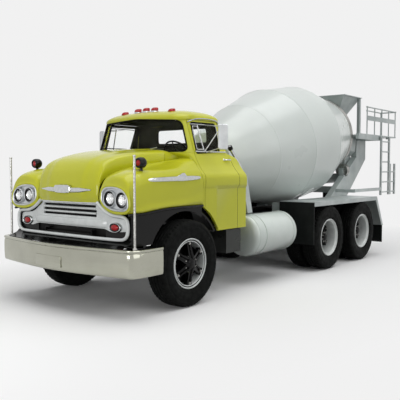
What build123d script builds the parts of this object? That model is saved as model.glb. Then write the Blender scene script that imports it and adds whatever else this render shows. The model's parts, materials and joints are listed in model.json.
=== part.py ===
from build123d import *
from math import cos, radians, sin
import os

# Concrete mixer truck: conventional cab, three axles, tilted drum. Millimetres.
# Row frame: +Z up, front faces -Y, +X is the truck's left side, ground at Z = 0.
# Every piece is drawn with the front axle at Y = 0 and moved by MIDDLE_Y when it is saved.

# ---- running gear -------------------------------------------------------------------
TYRE_R = 525.0
TYRE_W = 265.0
TYRE_SHOULDER = 45.0
BEAD_R = 288.0
RIM_R = 302.0
RIM_WELL_R = 262.0
RIM_W = 205.0
RIM_LIP = 16.0
DUAL_GAP = 42.0
FRONT_TRACK_X = 1014.0
REAR_OUTER_X = 1087.0
TANDEM_Y = (3482.0, 4772.0)
AXLE_Z = TYRE_R
HUB_R = 92.0
HUB_LENGTH = 250.0
SPOKES = 6
SPOKE_W = 62.0
SPOKE_T = 55.0
LUG_R = 17.0
RUNNING = 0.5
KINGPIN_X = 800.0
KINGPIN_R = 24.0
SPINDLE_R = 42.0
FRONT_HUB_LENGTH = 195.0
STEER_EYE_R = 48.0

# ---- frame --------------------------------------------------------------------------
RAIL_TOP = 950.0
RAIL_DEPTH = 240.0
RAIL_X = 432.0
RAIL_FLANGE = 85.0
RAIL_T = 10.0
FRAME_FRONT = -925.0
FRAME_REAR = 5820.0
CROSSMEMBER_Y = (-865.0, 1480.0, 2760.0, 4127.0, 5760.0)
CROSSMEMBER_W = 90.0

# ---- bumper and nose ----------------------------------------------------------------
BUMPER_TOP = 790.0
BUMPER_LOW = 480.0
BUMPER_T = 12.0
BUMPER_FRONT = -1185.0
BUMPER_HALF = 1216.0
# plan of the bumper's left end: x, y of each bend
BUMPER_BEND = ((BUMPER_HALF, -930.0), (BUMPER_HALF - 111.0, -1040.0), (BUMPER_HALF * 0.55, -1115.0))
BUMPER_END = -575.0
BUMPER_FLANGE = 60.0
POLE_X = 1130.0
POLE_Y = -960.0
POLE_TOP = 1790.0
POLE_R = 9.0
GRILLE_HALF = 985.0
GRILLE_LOW = 868.0
GRILLE_SIDE_TOP = 1130.0
GRILLE_TOP = 1262.0
GRILLE_TOP_HALF = 540.0
GRILLE_FRONT = -955.0
GRILLE_T = 22.0
GRILLE_FRAME = 34.0
SLOT_H = 26.0
SLOT_PITCH = 56.0
LAMP_X = (742.0, 934.0)
LAMP_Z = 1316.0
LAMP_R = 88.0
BEZEL_HALF = (236.0, 136.0)
SIGNAL_X = 955.0
SIGNAL_Y = -640.0
SIGNAL_Z = 1722.0
PARK_X = 781.0
PARK_Z = 1007.0

# ---- hood and fenders ---------------------------------------------------------------
SEAM = 6.0
SEAT = 0.3
HOOD_HINGE_R = 8.0
HOOD_HINGE_HALF = 90.0
SHEET = 25.0
COWL_Y = 345.0
COWL_LOW = 1700.0
SKIRT_LOW = 800.0
SKIRT_FRONT = -880.0
ARCH_R = 622.0
LINER_R = 662.0
HOUSE_R = 780.0
HOUSE_X = 610.0
HOUSE_T = 16.0
# station y, then half-width and height of each corner of the hood's section
HOOD = (
    (-985.0, 260.0, 1300.0, 270.0, 1440.0, 0.0, 1475.0),
    (-925.0, 490.0, 1290.0, 500.0, 1500.0, 0.0, 1590.0),
    (-850.0, 545.0, 1290.0, 530.0, 1600.0, 0.0, 1715.0),
    (-700.0, 552.0, 1480.0, 515.0, 1690.0, 0.0, 1800.0),
    (-350.0, 594.0, 1560.0, 520.0, 1800.0, 0.0, 1868.0),
    (125.0, 634.0, 1630.0, 545.0, 1838.0, 0.0, 1903.0),
)
HOOD_HINGE_Y = HOOD[-1][0] + SEAM / 2
# station y, then x and z of each corner of the left fender's section
FENDER = (
    (-965.0, 610.0, 1215.0, 1010.0, 1215.0, 1040.0, 1330.0, 1010.0, 1500.0, 830.0, 1545.0, 640.0, 1480.0),
    (-900.0, 565.0, 1140.0, 1055.0, 1140.0, 1068.0, 1330.0, 1050.0, 1530.0, 840.0, 1590.0, 580.0, 1530.0),
    (-760.0, 560.0, 1165.0, 1062.0, 1165.0, 1072.0, 1380.0, 1055.0, 1560.0, 860.0, 1640.0, 580.0, 1625.0),
    (-350.0, 608.0, 1205.0, 1060.0, 1205.0, 1068.0, 1420.0, 1050.0, 1565.0, 890.0, 1655.0, 610.0, 1690.0),
    (345.0, 700.0, 1205.0, 1045.0, 1205.0, 1050.0, 1440.0, 1035.0, 1570.0, 930.0, 1670.0, 700.0, 1750.0),
)

# ---- cab ----------------------------------------------------------------------------
CAB_REAR = 1330.0
CAB_LOW = 854.0
CAB_HALF = 1035.0
BELT_Z = 1570.0
SILL_Z = 1850.0
SILL_HALF = 860.0
ROOF_Z = 2270.0
ROOF_HALF = 735.0
CROWN_Z = 2430.0
WALL = 50.0
FLOOR_Z = 1010.0
FLOOR_T = 30.0
DOOR_FRONT = 402.0
DOOR_REAR = 1070.0
DOOR_LEAN = 0.62
DOOR_TOP = 2235.0
DOOR_GAP = 6.0
HINGE_X = CAB_HALF + 21.0
HINGE_Y = 398.0
HINGE_Z = (1290.0, 1500.0)
HINGE_R = 10.0
HINGE_PIN_R = 5.0
HINGE_HALF = 26.0
HINGE_END = 16.0
GLASS_T = 8.0
DASH_REAR = 535.0
DASH_LOW = 1560.0
SCREEN_LOW_Y = 205.0
SCREEN_TOP_Y = 262.0
PILLAR_Y = 405.0
HOUSE_REAR = 1190.0
REAR_GLASS_HALF = 470.0
REAR_GLASS_Z = (2010.0, 2220.0)

# ---- engine -------------------------------------------------------------------------
ENGINE_BOX = ((-310.0, 310.0), (-560.0, 290.0), (960.0, 1560.0))
RADIATOR_BOX = ((-400.0, 400.0), (-790.0, -710.0), (955.0, 1430.0))

# ---- tanks and boxes ----------------------------------------------------------------
TANK_X = 825.0
TANK_Z = 700.0
TANK_R = 295.0
TANK_Y = (1450.0, 2620.0)
TANK_DOME = 70.0
TANK_BAND_Y = (1720.0, 2480.0)
BAND_W = 34.0
BAND_T = 6.0
BOX_Y = (910.0, 1240.0)
BOX_X = (560.0, 985.0)
BOX_Z = (530.0, 842.0)

# ---- drum ---------------------------------------------------------------------------
DRUM_Y = 4000.0
DRUM_Z = 2099.6
DRUM_TILT = 8.66
DRUM_WALL = 10.0
# distance along the axis, radius
DRUM_PROFILE = (
    (-2276.0, 450.0),
    (-1401.0, 796.0),
    (-622.0, 1002.0),
    (265.0, 1008.0),
    (1400.0, 690.0),
    (1568.0, 600.0),
)
RING_AT = 1366.0
RING_R = 722.0
RING_W = 84.0
LIP_R = 622.0
DRIVE_R = 110.0
DRIVE_LENGTH = 150.0
ROLLER_R = 125.0
ROLLER_W = 100.0
ROLLER_ANGLE = 35.0
ROLLER_PIN_R = 30.0
ROLLER_GAP = 0.5

# ---- pedestals and deck -------------------------------------------------------------
PEDESTAL_Y = 1600.0
PEDESTAL_D = 120.0
PEDESTAL_FOOT_HALF = 900.0
PEDESTAL_TOP_HALF = 800.0
PEDESTAL_SHOULDER = 1560.0
GEARBOX_HALF = 230.0
GEARBOX_LENGTH = 280.0
# slanted pipe that leans from the front pedestal to the cab: y and z of its ends
PIPE_R = 38.0
PIPE_X = 745.0
PIPE_LOW = (PEDESTAL_Y + 40.0, PEDESTAL_SHOULDER + 80.0)
PIPE_HIGH = (CAB_REAR - 35.0, PEDESTAL_SHOULDER + 408.0)
LEG_X = 500.0
LEG_W = 116.0
LEG_BEAM = ((5180.0, 5330.0), (1180.0, 1300.0))
# y and z of the leg's outline
LEG_OUTLINE = (
    (4590.0, RAIL_TOP), (5240.0, RAIL_TOP), (5560.0, 1150.0), (6370.0, 1840.0),
    (6370.0, 2215.0), (5930.0, 2215.0), (5930.0, 1880.0), (4860.0, 1150.0),
)
DECK_TOP = 1125.0
DECK_T = 34.0
DECK_EDGE = 70.0
DECK_X = (590.0, 1220.0)
DECK_Y = (2930.0, 5400.0)
DECK_TAIL = (5712.0, 560.0)
BOARD_T = 18.0
BOARD_LOW = 450.0
FLAP_LOW = 230.0

# ---- platform, ladder, hopper and chute ----------------------------------------------
FLOOR_TOP = 2320.0
LEG_TOP = 2215.0
PLATFORM_X = (560.0, 905.0)
PLATFORM_Y = (5250.0, 7143.0)
FLOOR_START = 5640.0
ARM_Y = (5940.0, 6250.0)
ARM_W = 90.0
BEAM_END = 6215.0
RAIL_TUBE_R = 13.0
POST_TUBE_R = 11.0
RAIL_TOP_Z = 2845.0
RAIL_FRONT_Y = 5660.0
BASKET_PANEL_Z = (2590.0, 2680.0)
LADDER_X = 940.0
LADDER_Y = (6262.0, 6680.0)
LADDER_LOW = 1110.0
LADDER_TUBE = 26.0
LADDER_T = 15.0
RUNG_R = 13.0
RUNG_PITCH = 205.0
# lower section of the ladder, folded up beside the upper one
FOLD_Y = (6745.0, 6995.0)
FOLD_TOP = 1750.0
FOLD_LUG_Z = (1215.0, 1640.0)
STAY_Y = (5000.0, 5060.0)
STAY_Z = (1200.0, 1260.0)
HOPPER_TOP = 3095.0
HOPPER_T = 8.0
# height, half-width, and front and rear y of each level
HOPPER = ((HOPPER_TOP, 510.0, 5425.0, 6200.0), (2740.0, 280.0, 5640.0, 6030.0), (2480.0, 230.0, 5560.0, 5800.0))
BRIM_W = 25.0
BRIM_IN = 10.0
BRIM_T = 14.0
PROP_Y = (6120.0, 6180.0)
COLLECTOR = (
    (2300.0, 560.0, 5660.0, 5915.0),
    (1990.0, 540.0, 5690.0, 5905.0),
    (1890.0, 425.0, 5700.0, 5925.0),
    (1700.0, 400.0, 5710.0, 6300.0),
    (1620.0, 150.0, 6130.0, 6420.0),
)
EAR_Y = (5990.0, 6050.0)
EAR_Z = (1760.0, 1800.0)
CHUTE_Y = 6270.0
CHUTE_Z = 1500.0
CHUTE_LENGTH = 1050.0
CHUTE_R = 190.0
CHUTE_SLOPE = 6.0
CHUTE_T = 8.0

MIDDLE_Y = (BUMPER_FRONT + PLATFORM_Y[1]) / 2


# ---- helpers ------------------------------------------------------------------------
def save(node, shape):
    solids = shape.solids() if hasattr(shape, "solids") else [s for p in shape for s in p.solids()]
    moved = [s.moved(Location((0, -MIDDLE_Y, 0))) for s in solids]
    export_step(Compound(children=moved) if len(moved) > 1 else moved[0], "parts/" + node + ".step")


def block(x, y, z):
    size = (x[1] - x[0], y[1] - y[0], z[1] - z[0])
    return Pos((x[0] + x[1]) / 2, (y[0] + y[1]) / 2, (z[0] + z[1]) / 2) * Box(*size)


def rod(start, end, radius):
    line = Vector(*end) - Vector(*start)
    return extrude(Plane(origin=start, z_dir=line) * Circle(radius), line.length)


def cylinder_x(x, y, z, radius):
    return rod((x[0], y, z), (x[1], y, z), radius)


def prism_x(outline, x):
    """A Y-Z outline drawn along X."""
    face = make_face(Polyline(*[(0, y, z) for y, z in outline], close=True))
    return extrude(Pos(x[0], 0, 0) * face, x[1] - x[0], dir=(1, 0, 0))


def prism_y(outline, y):
    """An X-Z outline drawn along Y."""
    face = make_face(Polyline(*[(x, 0, z) for x, z in outline], close=True))
    return extrude(Pos(0, y[0], 0) * face, y[1] - y[0], dir=(0, 1, 0))


def prism_z(outline, z):
    """An X-Y outline drawn along Z."""
    face = make_face(Polyline(*[(x, y, 0) for x, y in outline], close=True))
    return extrude(Pos(0, 0, z[0]) * face, z[1] - z[0], dir=(0, 0, 1))


def mirrored(shape):
    return mirror(shape, about=Plane.YZ)


def both(shape):
    return [shape, mirrored(shape)]


def fused(pieces):
    first, rest = pieces[0], pieces[1:]
    for piece in rest:
        first = first + piece
    return first


def turned(outline, axis_x):
    """A closed outline of (distance along X, radius) turned round the X axis at the wheel's height."""
    face = make_face(Polyline(*[(along, 0, radius) for along, radius in outline], close=True))
    return Pos(axis_x, 0, AXLE_Z) * revolve(face, Axis.X)


# ---- wheels -------------------------------------------------------------------------
def tyre(x, y):
    half = TYRE_W / 2
    tread_half = half - TYRE_SHOULDER * 0.55
    bead = RIM_W / 2 - RUNNING
    outline = (
        (-bead, BEAD_R + RUNNING), (-bead, RIM_R + 3), (-half + 10, RIM_R + 40), (-half, (TYRE_R + BEAD_R) / 2),
        (-half + 8, TYRE_R - TYRE_SHOULDER), (-tread_half, TYRE_R - 6), (0, TYRE_R),
        (tread_half, TYRE_R - 6), (half - 8, TYRE_R - TYRE_SHOULDER), (half, (TYRE_R + BEAD_R) / 2),
        (half - 10, RIM_R + 40), (bead, RIM_R + 3), (bead, BEAD_R + RUNNING),
    )
    return Pos(0, y, 0) * turned(outline, x)


def rim(x, y):
    half = RIM_W / 2
    outline = (
        (-half - RIM_LIP, RIM_R), (-half - RIM_LIP, RIM_WELL_R + 12), (-half, RIM_WELL_R),
        (half, RIM_WELL_R), (half + RIM_LIP, RIM_WELL_R + 12), (half + RIM_LIP, RIM_R),
        (half, RIM_R), (half, BEAD_R), (-half, BEAD_R), (-half, RIM_R),
    )
    return Pos(0, y, 0) * turned(outline, x)


def spider(face_x, y, bore_r, outward, rim_x, length):
    """Cast spoke wheel centre: hub barrel, tapered spokes to the rim and one lug on each."""
    inner = face_x - outward * length
    hub = cylinder_x(sorted((inner, face_x)), y, AXLE_Z, HUB_R)
    cap = cylinder_x(sorted((face_x, face_x + outward * 38)), y, AXLE_Z, HUB_R * 0.6)
    pieces = [hub, cap]
    spoke_x = rim_x + outward * (RIM_W / 2 - SPOKE_T / 2 - 4)
    for k in range(SPOKES):
        reach = RIM_WELL_R + 3
        spoke = Pos(spoke_x, 0, reach / 2) * Box(SPOKE_T, SPOKE_W, reach)
        lug = Pos(spoke_x + outward * (SPOKE_T / 2 + 9), 0, RIM_WELL_R - 26) * Rot(0, 90, 0) * Cylinder(LUG_R, 20)
        pieces.append(Pos(0, y, AXLE_Z) * Rot(360.0 / SPOKES * k, 0, 0) * (spoke + lug))
    bore = cylinder_x(sorted((inner - outward * 5, face_x - outward * 30)), y, AXLE_Z, bore_r)
    return fused(pieces) - bore


def build_wheels():
    for side, name in ((1, "left"), (-1, "right")):
        centre = side * FRONT_TRACK_X
        save("front_tyre_" + name, tyre(centre, 0))
        face = centre + side * (RIM_W / 2 - 10)
        save("front_wheel_" + name, rim(centre, 0) + spider(face, 0, SPINDLE_R + RUNNING, side, centre, FRONT_HUB_LENGTH))
        for index, y in enumerate(TANDEM_Y, 1):
            outer = side * REAR_OUTER_X
            inner = side * (REAR_OUTER_X - TYRE_W - DUAL_GAP)
            save("rear_tyres_%d_%s" % (index, name), [tyre(outer, y), tyre(inner, y)])
            spokes_x = (outer + inner) / 2 + side * 20
            hub = spider(spokes_x + side * 130, y, SPINDLE_R + RUNNING, side, spokes_x - side * RIM_W / 2, HUB_LENGTH)
            spacer = turned(((-DUAL_GAP, RIM_WELL_R), (DUAL_GAP, RIM_WELL_R), (DUAL_GAP, RIM_WELL_R + 10),
                             (-DUAL_GAP, RIM_WELL_R + 10)), (outer + inner) / 2)
            save("rear_wheel_%d_%s" % (index, name),
                 rim(outer, y) + rim(inner, y) + Pos(0, y, 0) * spacer + hub)


# ---- front axle, knuckles, rear axles -------------------------------------------------
def build_axles():
    drop = 70.0
    half = ((540, -45 - drop), (720, -45), (KINGPIN_X, -45), (KINGPIN_X, 45), (720, 45), (540, 45 - drop))
    line = half + tuple((-x, z) for x, z in reversed(half))
    beam = prism_y([(x, AXLE_Z + z) for x, z in line], (-42, 42))
    for eye in both(Pos(KINGPIN_X, 0, AXLE_Z) * Cylinder(STEER_EYE_R, 110)):
        beam = beam + eye
    for hole in both(Pos(KINGPIN_X, 0, AXLE_Z) * Cylinder(KINGPIN_R + RUNNING, 120)):
        beam = beam - hole
    for pack in both(block((RAIL_X - 75, RAIL_X - 5), (-560, 560), (AXLE_Z + 45 - drop, RAIL_TOP - RAIL_DEPTH))
                     - block((0, KINGPIN_X), (-520, -60), (0, AXLE_Z + 100))
                     - block((0, KINGPIN_X), (60, 520), (0, AXLE_Z + 100))
                     - block((0, KINGPIN_X), (-470, 470), (AXLE_Z + 140, RAIL_TOP))):
        beam = beam + pack
    save("front_axle", beam)

    for side, name in ((1, "left"), (-1, "right")):
        x = side * KINGPIN_X
        pin = Pos(x, 0, AXLE_Z) * Cylinder(KINGPIN_R, 190)
        upper = Pos(x, 0, AXLE_Z + 80) * Cylinder(STEER_EYE_R, 38)
        lower = Pos(x, 0, AXLE_Z - 80) * Cylinder(STEER_EYE_R, 38)
        web = block(sorted((x + side * 56, x + side * 92)), (-45, 45), (AXLE_Z - 99, AXLE_Z + 99))
        arms = (block(sorted((x, x + side * 90)), (-40, 40), (AXLE_Z + 61, AXLE_Z + 99))
                + block(sorted((x, x + side * 90)), (-40, 40), (AXLE_Z - 99, AXLE_Z - 61)))
        spindle = cylinder_x(sorted((x + side * 60, side * (FRONT_TRACK_X + RIM_W / 2 - 45))), 0, AXLE_Z, SPINDLE_R)
        save("knuckle_" + name, fused([pin, upper, lower, arms, web, spindle]))

    pieces = []
    for y in TANDEM_Y:
        tube = cylinder_x((-REAR_OUTER_X + 60, REAR_OUTER_X - 60), y, AXLE_Z, SPINDLE_R)
        casing = cylinder_x((-560, 560), y, AXLE_Z, 78)
        bowl = ((-135, 0), (-135, 110), (-75, 200), (75, 200), (135, 110), (135, 0))
        bowl_face = make_face(Polyline(*[(0, along, radius) for along, radius in bowl], close=True))
        banjo = Pos(0, y, AXLE_Z) * revolve(bowl_face, Axis.Y)
        nose = rod((0, y - 330, AXLE_Z + 40), (0, y, AXLE_Z + 40), 80)
        pieces.append(fused([tube, casing, banjo, nose]))
    beams = both(prism_x(((TANDEM_Y[0] - 60, AXLE_Z + 70), (TANDEM_Y[0] + 120, AXLE_Z + 130),
                          (TANDEM_Y[1] - 120, AXLE_Z + 130), (TANDEM_Y[1] + 60, AXLE_Z + 70),
                          (TANDEM_Y[1] + 60, AXLE_Z - 20), (TANDEM_Y[1] - 200, AXLE_Z + 20),
                          (TANDEM_Y[0] + 200, AXLE_Z + 20), (TANDEM_Y[0] - 60, AXLE_Z - 20)),
                         (RAIL_X - 75, RAIL_X - 5)))
    middle = sum(TANDEM_Y) / 2
    saddles = both(block((RAIL_X - 80, RAIL_X), (middle - 130, middle + 130), (AXLE_Z + 100, RAIL_TOP - RAIL_DEPTH)))
    link = rod((0, TANDEM_Y[0], AXLE_Z + 40), (0, TANDEM_Y[1] - 300, AXLE_Z + 40), 45)
    shaft = rod((0, 905, 800), (0, TANDEM_Y[0] - 300, AXLE_Z + 45), 45)
    save("rear_axles", fused(pieces + beams + saddles + [link, shaft]))


# ---- frame and chassis pieces ---------------------------------------------------------
def build_frame():
    rail = block((RAIL_X - RAIL_FLANGE, RAIL_X), (FRAME_FRONT, FRAME_REAR), (RAIL_TOP - RAIL_DEPTH, RAIL_TOP))
    inside = block((RAIL_X - RAIL_FLANGE - 1, RAIL_X - RAIL_T), (FRAME_FRONT - 1, FRAME_REAR + 1),
                   (RAIL_TOP - RAIL_DEPTH + RAIL_T, RAIL_TOP - RAIL_T))
    pieces = both(rail - inside)
    for y in CROSSMEMBER_Y:
        pieces.append(block((-RAIL_X + RAIL_T, RAIL_X - RAIL_T), (y - CROSSMEMBER_W / 2, y + CROSSMEMBER_W / 2),
                            (RAIL_TOP - RAIL_DEPTH + 85, RAIL_TOP - 40)))
    hook_y = FRAME_REAR
    pieces.append(block((-90, 90), (hook_y - 20, hook_y + 30), (RAIL_TOP - 200, RAIL_TOP - 50)))
    pieces.append(block((-22, 22), (hook_y + 20, hook_y + 190), (RAIL_TOP - 150, RAIL_TOP - 106)))
    frame = fused(pieces) - Pos(0, hook_y + 140, RAIL_TOP - 128) * Cylinder(16, 80)
    save("frame", frame)


def bumper_line(inset):
    half = BUMPER_HALF - inset
    right = [(half, BUMPER_END), (half, BUMPER_BEND[0][1] + inset * 0.5)]
    right += [(x - inset * 0.4, y + inset) for x, y in BUMPER_BEND[1:]]
    left = [(-x, y) for x, y in reversed(right)]
    return tuple(right + [(0, BUMPER_FRONT + inset)] + left)


def build_bumper():
    outer = bumper_line(0)
    inner = bumper_line(BUMPER_T)
    wall = prism_z(outer + tuple(reversed(inner)), (BUMPER_LOW, BUMPER_TOP))
    shelf = bumper_line(BUMPER_FLANGE)
    flanges = [prism_z(outer + tuple(reversed(shelf)), (z, z + BUMPER_T))
               for z in (BUMPER_LOW, BUMPER_TOP - BUMPER_T)]
    poles = []
    for side in (1, -1):
        x = side * POLE_X
        poles.append(rod((x, POLE_Y, BUMPER_TOP - 6), (x, POLE_Y, POLE_TOP), POLE_R))
        poles.append(Pos(x, POLE_Y, POLE_TOP) * Sphere(POLE_R * 2))
    horns = both(block((RAIL_X - 70, RAIL_X - RAIL_T), (BUMPER_FRONT + BUMPER_T, FRAME_FRONT + 60),
                       (RAIL_TOP - RAIL_DEPTH + 20, BUMPER_TOP - 20)))
    save("front_bumper", fused([wall] + flanges + poles + horns))


def build_grille():
    half, low, side, top, top_half = GRILLE_HALF, GRILLE_LOW, GRILLE_SIDE_TOP, GRILLE_TOP, GRILLE_TOP_HALF
    outline = ((-half, low), (half, low), (half, side), (top_half + 58, side + 20), (top_half, top),
               (-top_half, top), (-top_half - 58, side + 20), (-half, side))
    panel = prism_y(outline, (GRILLE_FRONT, GRILLE_FRONT + GRILLE_T))
    f = GRILLE_FRAME
    lower_gap = prism_y(((-half + 220, low + f), (half - 220, low + f), (half - 260, low + f + 75),
                         (-half + 260, low + f + 75)), (GRILLE_FRONT - 5, GRILLE_FRONT + GRILLE_T + 5))
    panel = panel - lower_gap
    for k in range(3):
        z = top - 34 - SLOT_PITCH * k
        w = top_half - 25 - 22 * k
        panel = panel - block((-w, w), (GRILLE_FRONT - 5, GRILLE_FRONT + GRILLE_T + 5), (z - SLOT_H, z))
    bar = block((-half + 265, half - 265), (GRILLE_FRONT - 22, GRILLE_FRONT + 4), (985, 1085))
    stays = both(block((RAIL_X - 60, RAIL_X - 20), (GRILLE_FRONT + GRILLE_T / 2, GRILLE_FRONT + 95),
                       (RAIL_TOP, RAIL_TOP + 62)))
    save("grille", fused([panel, bar] + stays))


def build_lamps():
    bezels = []
    for side in (1, -1):
        centre = side * (LAMP_X[0] + LAMP_X[1]) / 2
        face_y = FENDER[0][0] - SEAT
        rim_plate = extrude(Plane((centre, face_y, LAMP_Z), x_dir=(1, 0, 0), z_dir=(0, -1, 0))
                            * Ellipse(BEZEL_HALF[0], BEZEL_HALF[1]), 16)
        for x in LAMP_X:
            rim_plate = rim_plate + rod((side * x, face_y - 10, LAMP_Z), (side * x, face_y - 26, LAMP_Z), LAMP_R)
        bezels.append(rim_plate)
    save("headlamps", bezels)

    lamps = []
    left = fender_form()
    fenders = {1: left, -1: mirrored(left)}
    for side in (1, -1):
        x = side * SIGNAL_X
        lamps.append(rod((x, SIGNAL_Y - 45, SIGNAL_Z), (x, SIGNAL_Y + 45, SIGNAL_Z), 52)
                     + (rod((x, SIGNAL_Y, SIGNAL_Z), (x, SIGNAL_Y, SIGNAL_Z - 160), 16) - fenders[side]))
        lamps.append(rod((side * PARK_X, GRILLE_FRONT - 0.3, PARK_Z), (side * PARK_X, GRILLE_FRONT - 40, PARK_Z), 48))
        slope = prism_x(((DECK_Y[1] - 300, DECK_TOP), (DECK_Y[1], DECK_TOP), DECK_TAIL, (DECK_TAIL[0] - 300, DECK_TAIL[1])),
                        sorted((side * 1000, side * 1300)))
        lamps.append(block(sorted((side * 1090, side * 1180)), (DECK_TAIL[0] - 80, DECK_TAIL[0] + 10), (590, 690)) - slope)
    roof = cab_solid(0)
    for x in (-430, -165, 0, 165, 430):
        lamps.append(Pos(x, 640, CROWN_Z - 8) * Box(70, 120, 76) - roof)
    return lamps


# ---- front sheet metal ----------------------------------------------------------------
def hood_section(row, inset, drop):
    y, low_x, low_z, side_x, side_z, _, top_z = row
    low_x, side_x = low_x - inset, side_x - inset
    side_z, top_z = side_z - inset, top_z - inset
    left = ((low_x, low_z - drop), (side_x, side_z), (side_x * 0.55, (side_z + top_z * 2) / 3), (0, top_z))
    right = tuple((-x, z) for x, z in reversed(left[:-1]))
    return make_face(Polyline(*[(x, y, z) for x, z in left + right], close=True))


def build_hood():
    outer = loft([hood_section(row, 0, 0) for row in HOOD], ruled=True)
    rows = [(HOOD[1][0],) + tuple(HOOD[1][1:])] + list(HOOD[2:])
    inner_rows = [(row[0] + (SHEET if k == 0 else 0),) + tuple(row[1:]) for k, row in enumerate(rows)]
    inner = loft([hood_section(row, SHEET, 400) for row in inner_rows], ruled=True)
    socket = rod((-HOOD_HINGE_HALF - 5, HOOD_HINGE_Y, HOOD[-1][6]), (HOOD_HINGE_HALF + 5, HOOD_HINGE_Y, HOOD[-1][6]),
                 HOOD_HINGE_R + SEAT)
    save("hood", outer - inner - socket)


def fender_form(inset=0):
    """The left fender's outside, or the same form drawn in by a distance."""
    sections = []
    for k, row in enumerate(FENDER):
        y, corners = row[0], row[1:]
        y += inset if k == 0 else -inset if k == len(FENDER) - 1 else 0
        middle = sum(corners[0::2]) / 6, sum(corners[1::2]) / 6
        points = [(x + (inset if x < middle[0] else -inset), y, z + (inset if z < middle[1] else -inset))
                  for x, z in zip(corners[0::2], corners[1::2])]
        sections.append(make_face(Polyline(*points, close=True)))
    return loft(sections, ruled=True)


def build_fenders():
    left = fender_form()
    apron = block((HOUSE_X - 30, HOUSE_X), (-700, 340), (RAIL_TOP + 60, 1210))
    ledge = block((RAIL_X - 60, HOUSE_X - 10), (-640, -560), (RAIL_TOP, RAIL_TOP + 80))
    hollow = fender_form(SHEET)
    mouth = block((HOUSE_X + 50, CAB_HALF - 60), (FENDER[1][0] + 2 * SHEET, COWL_Y - 2 * SHEET), (1100, 1260))
    left = (left - hollow - (mouth & left)) + apron + ledge
    save("front_fenders", both(left))

    circle = cylinder_x((0, 1100), 0, AXLE_Z, ARCH_R)
    panel = prism_x(((SKIRT_FRONT, SKIRT_LOW), (SKIRT_FRONT, 1140), (-760, 1165 - SEAT), (-350, 1205 - SEAT),
                     (335, 1205 - SEAT), (335, SKIRT_LOW)), (1010, 1030)) - circle
    ring = (cylinder_x((620, 1015), 0, AXLE_Z, LINER_R + 12) - cylinder_x((600, 1020), 0, AXLE_Z, LINER_R))
    ring = ring & block((600, 1020), (-LINER_R - 20, 330), (SKIRT_LOW + 40, 1300))
    front = block((620, 1015), (SKIRT_FRONT, SKIRT_FRONT + 12), (SKIRT_LOW, 1120))
    closing = block((620, 632), (SKIRT_FRONT, -LINER_R + 60), (SKIRT_LOW, 1120))
    save("fender_skirts", both((panel + ring + front + closing) - block((0, 1100), (432, 900), (0, 2000))))


# ---- cab --------------------------------------------------------------------------------
def side_outline(inset, low):
    """Right-going half of the cab's lower section: sill, bulged belt and sloping shoulder."""
    half = CAB_HALF - inset
    return ((half - 15, low), (half - 15, 1400), (half + 10, 1440), (half + 10, 1540), (half - 30, BELT_Z + 30),
            (SILL_HALF + 45 - inset, 1740), (SILL_HALF - inset, SILL_Z))


def cab_ring(z, half, front, rear, pillar):
    """Plan of the upper cab at one height: bowed windscreen, pillar corner, square rear."""
    c = 90.0
    right = ((half - c, rear), (half, rear - c), (half, pillar), (half - 60, pillar - 75), (half - 230, front + 28))
    left = tuple((-x, y) for x, y in reversed(right))
    return make_face(Polyline(*[(x, y, z) for x, y in right + ((0, front),) + left], close=True))


def cab_solid(inset):
    """The cab's outside, or the same form drawn in by a distance and open below."""
    low = CAB_LOW if inset == 0 else CAB_LOW - 10
    belt = side_outline(inset, low)
    outline = belt + tuple((-x, z) for x, z in reversed(belt))
    lower = prism_y(outline, (COWL_Y + inset, CAB_REAR - inset))
    base = cab_ring(SILL_Z - 1, SILL_HALF - inset, SCREEN_LOW_Y + inset, HOUSE_REAR - inset, PILLAR_Y)
    top = cab_ring(ROOF_Z, ROOF_HALF - inset, SCREEN_TOP_Y + inset, HOUSE_REAR - 40 - inset, PILLAR_Y + 10)
    shape = lower + loft([base, top], ruled=True)
    if inset == 0:
        cowl = [hood_section((y,) + HOOD[-1][1:], 0, 0) for y in (HOOD[-1][0] + SEAM, COWL_Y + 5)]
        shape = shape + (loft(cowl, ruled=True) - block((-900, 900), (0, COWL_Y + 10), (1000, COWL_LOW)))
        shape = shape + rod((-HOOD_HINGE_HALF, HOOD_HINGE_Y, HOOD[-1][6]), (HOOD_HINGE_HALF, HOOD_HINGE_Y, HOOD[-1][6]),
                            HOOD_HINGE_R)
        eave = cab_ring(ROOF_Z + 50, ROOF_HALF + 14, SCREEN_TOP_Y - 25, HOUSE_REAR - 20, PILLAR_Y - 10)
        dome = cab_ring(CROWN_Z - 40, ROOF_HALF - 130, SCREEN_TOP_Y + 110, HOUSE_REAR - 130, PILLAR_Y + 90)
        crown = cab_ring(CROWN_Z, ROOF_HALF - 330, SCREEN_TOP_Y + 240, HOUSE_REAR - 260, PILLAR_Y + 200)
        for pair in ((top, eave), (eave, dome), (dome, crown)):
            shape = shape + loft(list(pair), ruled=True)
    return shape


def wheel_house(radius, x):
    return both(cylinder_x(x, 0, AXLE_Z, radius))


def door_tool(grow):
    """A slab that cuts the left door out of the cab's side; its rear face leans with the pillar."""
    y0, y1, z1 = DOOR_FRONT - grow, DOOR_REAR + grow, DOOR_TOP + grow
    outer_x, inner_x = CAB_HALF + 60.0, 560.0
    reach = (outer_x - inner_x) * DOOR_LEAN
    outline = ((inner_x, y0), (outer_x, y0), (outer_x, y1 + 60 * DOOR_LEAN), (inner_x, y1 + 60 * DOOR_LEAN - reach))
    return prism_z(outline, (CAB_LOW - 20, z1))


def window_tool(grow):
    front, low, high = DOOR_FRONT + 50 - grow, 1905 - grow, 2195 + grow
    return prism_x(((front, low), (915 + grow, low), (850 + grow, high), (front + 15, high)), (500, 1100))


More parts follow.
